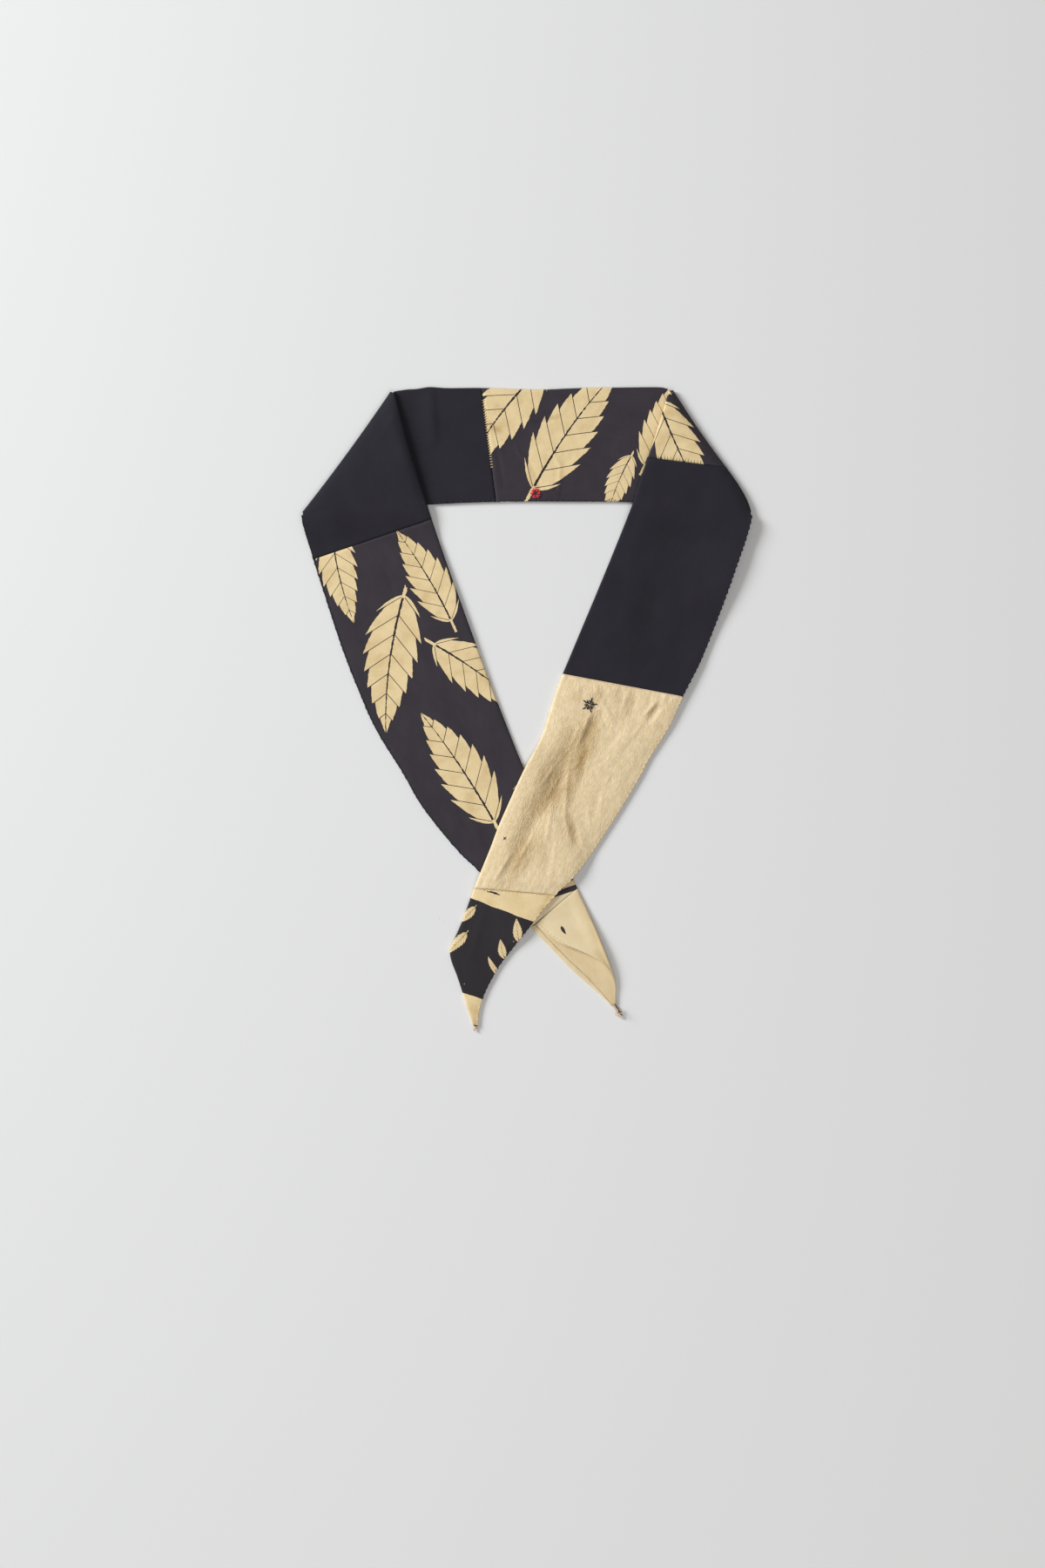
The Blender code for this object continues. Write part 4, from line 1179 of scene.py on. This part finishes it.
makeBinding("tailLeftTie", "tail_left_tie", {
    "start": legPoint(leftLeg, 522.4, 8.2), "end": legPoint(leftLeg, 533.0, 6.8),
    "radius": 1.5, "thread": 0.34, "turns": 7, "wound": 0.66,
    # each loop: heading, length, half width and rise
    "loops": [(4, 3.0, 1.2, 0.5), (150, 4.2, 1.3, 1.4), (-120, 3.4, 1.2, 1.0), (-40, 2.2, 0.9, 0.7)],
})
makeBinding("tipRightTie", "tip_right_tie", {
    "start": legPoint(rightLeg, 533.0, 43.1), "end": legPoint(rightLeg, 536.6, 44.0),
    "radius": 1.3, "thread": 0.26, "turns": 3, "wound": 0.6,
    "loops": [(10, 1.6, 0.8, 0.4), (-70, 1.5, 0.7, 0.6), (80, 1.5, 0.6, 0.5)],
})

bpy.context.view_layer.update()
shapes = bmesh.new()
for piece in panels:
    shapes.from_mesh(piece.data)
surface = BVHTree.FromBMesh(shapes)


def onCloth(x, y):
    # the top of the cloth at a place in the plan, in metres
    spot = toWorld((x, y), 40)
    hit = surface.ray_cast(spot, -zUp)[0]
    return hit.z if hit else 0.002


def addStitch(thread, x, y, heading, length, radius, lift=0.12, highest=20.0):
    # one stitch is a short thread that dips in at both ends; none where other cloth lies on top
    spot = toWorld((x, y), 0)
    spot.z = onCloth(x, y) + lift * mm
    if spot.z > highest * mm:
        return
    place = (
        Matrix.Translation(spot) @ Matrix.Rotation(heading, 4, "Z")
        @ Matrix.Diagonal((length / 2 * mm, radius * mm, radius * 0.8 * mm, 1))
        @ Matrix.Rotation(math.pi / 2, 4, "Y")
    )
    bmesh.ops.create_uvsphere(thread, u_segments=6, v_segments=5, radius=1.0, matrix=place)


def stitchLine(thread, points, pitch, length, radius, slant, inset=0.0, wander=0.12, lift=0.12, highest=20.0):
    # stitches along a line of points; slant turns each one from the line
    total = 0.0
    runs = []
    for a, b in zip(points[:-1], points[1:]):
        runs.append((total, a, b))
        total += (b - a).length
    at, k = pitch / 2, 0
    while at < total - pitch / 3:
        start, a, b = [r for r in runs if r[0] <= at][-1]
        ahead = (b - a).normalized()
        side = Vector((-ahead.y, ahead.x))
        chance = noise.noise((at * 0.7, points[0].x * 0.1, 3.0))
        spot = a + ahead * (at - start) + side * (inset + wander * chance)
        heading = math.atan2(ahead.y, ahead.x) + math.radians(slant) + 0.25 * chance
        addStitch(thread, spot.x, spot.y, heading, length * (1 + 0.25 * chance), radius, lift, highest)
        at += pitch * (1 + 0.22 * noise.noise((k * 1.7, 0.3, points[0].y * 0.1)))
        k += 1


def sewnLine(leg, first, last, inset=0.8, count=60):
    alongs = [first + (last - first) * k / count for k in range(count + 1)]
    return [legPoint(leg, along, leg["outer"](along) - inset) for along in alongs]


def straightLine(start, end):
    return [start.lerp(end, s / 10) for s in range(11)]


sewnEdge = {"pitch": 4.4, "length": 2.4, "radius": 0.26, "slant": 62, "lift": 0.02}

# cream over-stitches along the seam of the band, and cream thread on the pale panels
creamStitches = bmesh.new()
seamTop, seamFoot = bandEdges(leftLeg, seams["band"])
seamRun = [seamTop.lerp(seamFoot, s) + Vector((0.1, 0)) for s in (0.1, 0.3, 0.5, 0.72)]
stitchLine(creamStitches, seamRun, 2.1, 2.3, 0.46, 90, lift=0.3)
stitchLine(creamStitches, sewnLine(rightLeg, 226, 409), **sewnEdge)
flapEdge = [legPoint(leftLeg, a, tail["edge"](a) - 2.2) for a in range(441, 500, 3)]
stitchLine(creamStitches, flapEdge, 3.0, 1.9, 0.24, 0, lift=0.03)
hemEdge = [legPoint(leftLeg, a, tail["hem"](a) - 0.6) for a in range(441, 522, 3)]
stitchLine(creamStitches, hemEdge, 3.4, 2.2, 0.24, 0, lift=0.03)
onSoft, onSewn = seams["rightTip"]
gatherSeam = straightLine(innerEdge(rightLeg, onSoft), outerEdge(rightLeg, onSewn))
stitchLine(creamStitches, gatherSeam, 3.1, 1.6, 0.24, 0, inset=-0.9, lift=0.02)
makePiece("stitchesCream", creamStitches, creamThread)

# charcoal ticks over the seam of the right corner
tickStitches = bmesh.new()
seamOnLeg = [place[0] for place in cornerPlaces(rightLeg, seams["rightBand"])[0][:upFaces]]
rightSeam = straightLine(seamOnLeg[0], seamOnLeg[-1])
stitchLine(tickStitches, rightSeam, 2.4, 4.2, 0.2, 90, inset=0.9, lift=0.06)
makePiece("stitchesCharcoal", tickStitches, charcoalThread)

# dark thread: the sewn edge of the dark panels
darkStitches = bmesh.new()
for leg, first, last, highest in (
    (leftLeg, 78, 300, 20.0), (leftLeg, 300, 436, 2.8),      # none on the silk that lies on top
    (rightLeg, 78, 222, 20.0), (rightLeg, 440, 504, 20.0),
):
    stitchLine(darkStitches, sewnLine(leg, first, last), highest=highest, **sewnEdge)
bandFoot = [Vector((x, bandBottom(x) + 0.8)) for x in range(-112, 88, 4)]
stitchLine(darkStitches, bandFoot, **sewnEdge)
makePiece("stitchesDark", darkStitches, darkThread)


def rosette(thread, x, y, petals, radius, long, thick):
    # a ring of stitches, with a shorter slanted one beside each
    for k in range(petals):
        turned = math.tau * k / petals
        for far, beside, slant, part, lift in ((1.0, 0.0, 0.0, 1.0, 0.25), (1.1, 0.35, 1.2, 0.8, 0.3)):
            spotX = x + radius * far * math.cos(turned + beside)
            spotY = y + radius * far * math.sin(turned + beside)
            addStitch(thread, spotX, spotY, turned + slant, long * part, thick * part, lift)


redMark = bmesh.new()
rosette(redMark, 7.4, 172.4, 6, 2.8, 3.3, 0.78)
makePiece("rosetteRed", redMark, redThread)

# a thin piping where the silk meets the plain panel, and specks of lint
piping = bmesh.new()
pipeStart, pipeEnd = innerEdge(rightLeg, seams["rightSilk"][0]), outerEdge(rightLeg, seams["rightSilk"][1])
pipeRun = []
for k in range(91):
    spot = pipeStart.lerp(pipeEnd, 0.006 + 0.988 * k / 90)
    height = onCloth(spot.x, spot.y - 0.9) - 0.00005
    pipeRun.append(toWorld((spot.x, spot.y - 0.35), 0) + zUp * height)
threadPath(piping, pipeRun, 0.42)
for x, y in ((-49.8, -221.4), (-10.3, -187.3), (-70.0, -169.0), (112.5, 10.5)):
    addStitch(piping, x, y, x, 0.9, 0.3, lift=0.15)
makePiece("pipingSilkSeam", piping, paleThread)

blackMark = bmesh.new()
markX, markY = 50.6, 2.6
rosette(blackMark, markX, markY, 6, 2.5, 3.9, 0.7)
for turned in (0.1, 1.2, 2.5, 3.7, 4.9):
    x, y = markX + 4.9 * math.cos(turned), markY + 4.9 * math.sin(turned)
    addStitch(blackMark, x, y, turned, 3.0, 0.55, lift=0.25)
for turned in (math.pi / 4, -math.pi / 4):
    addStitch(blackMark, -17.4, -104.3, turned, 3.6, 0.34, lift=0.2)
# a small darn on the cream border
for x, y, long, thick in (
    (-33.5, -146.2, 1.6, 0.3), (-30.2, -147.4, 3.4, 0.45), (-27.6, -147.6, 4.0, 0.75),
    (-25.2, -148.4, 4.4, 0.9), (-22.8, -149.4, 3.2, 0.5),
):
    addStitch(blackMark, x, y, -0.25, long, thick, lift=0.0)
# dark thread over both bindings
tieStart, tieEnd = legPoint(leftLeg, 522.4, 7.2), legPoint(leftLeg, 534.0, 5.6)
tieHeading = math.atan2(tieEnd.y - tieStart.y, tieEnd.x - tieStart.x)
for share, slant in ((0.1, 0.5), (0.3, 0.25), (0.5, -0.1), (0.66, 1.2), (0.85, 0.5)):
    spot = tieStart.lerp(tieEnd, share)
    addStitch(blackMark, spot.x, spot.y, tieHeading + slant, 3.4, 0.4, lift=2.9)
tipEnd = legPoint(rightLeg, 533.2, 43.1)
addStitch(blackMark, tipEnd.x, tipEnd.y, -0.05, 3.8, 0.36, lift=0.5)
makePiece("stitchedMarksBlack", blackMark, darkThread)

print("thread done")


stage = {
    # metres
    "photoHigh": 1.26, "centre": (-0.00335, -0.06048), "distance": 2.1,      # what the photograph takes in
    "floorBelow": 0.0002, "floorWide": 8.0,
    # each lamp: name, place, width, watts and colour
    "lamps": [
        ("windowLight", (-3.49, 1.78, 2.0), 1.9, 214, (0.97, 0.99, 1.02)),
        ("overhead", (0.6, -1.8, 3.2), 3.0, 41, (0.98, 0.99, 1.02)),
    ],
    "world": {"Color": (1.0, 0.965, 0.91, 1.0), "Strength": 0.24},
}

floorGrid = bmesh.new()
bmesh.ops.create_grid(floorGrid, x_segments=1, y_segments=1, size=stage["floorWide"] / 2)
floorMesh = bpy.data.meshes.new("floor")
floorGrid.to_mesh(floorMesh)
floorGrid.free()
floor = bpy.data.objects.new("floor", floorMesh)
floor.location.z = -stage["floorBelow"]
bpy.context.scene.collection.objects.link(floor)
floorFinish = {"Roughness": 0.75, "Specular IOR Level": 0.2, "Base Color": fromHex("#e6e6e5")}
floorMesh.materials.append(newMaterial("painted board, pale grey", floorFinish)[0])

for name, place, size, power, colour in stage["lamps"]:
    lamp = bpy.data.lights.new(name, "AREA")
    lamp.shape = "DISK"
    lamp.size = size
    lamp.energy = power
    lamp.color = colour
    holder = bpy.data.objects.new(name, lamp)
    holder.location = place
    holder.rotation_euler = (-Vector(place)).to_track_quat("-Z", "Y").to_euler()
    bpy.context.scene.collection.objects.link(holder)
world = bpy.data.worlds.new("studio")
world.use_nodes = True
fillInputs(world.node_tree, world.node_tree.nodes["Background"], stage["world"])
bpy.context.scene.world = world

lens = bpy.data.cameras.new("camera")
lens.sensor_fit = "VERTICAL"
lens.sensor_height = 36.0
lens.lens = 36.0 * stage["distance"] / stage["photoHigh"]
lens.clip_end = 20.0
camera = bpy.data.objects.new("camera", lens)
camera.location = (*stage["centre"], stage["distance"])
bpy.context.scene.collection.objects.link(camera)
bpy.context.scene.camera = camera
bpy.context.scene.view_settings.view_transform = "Standard"
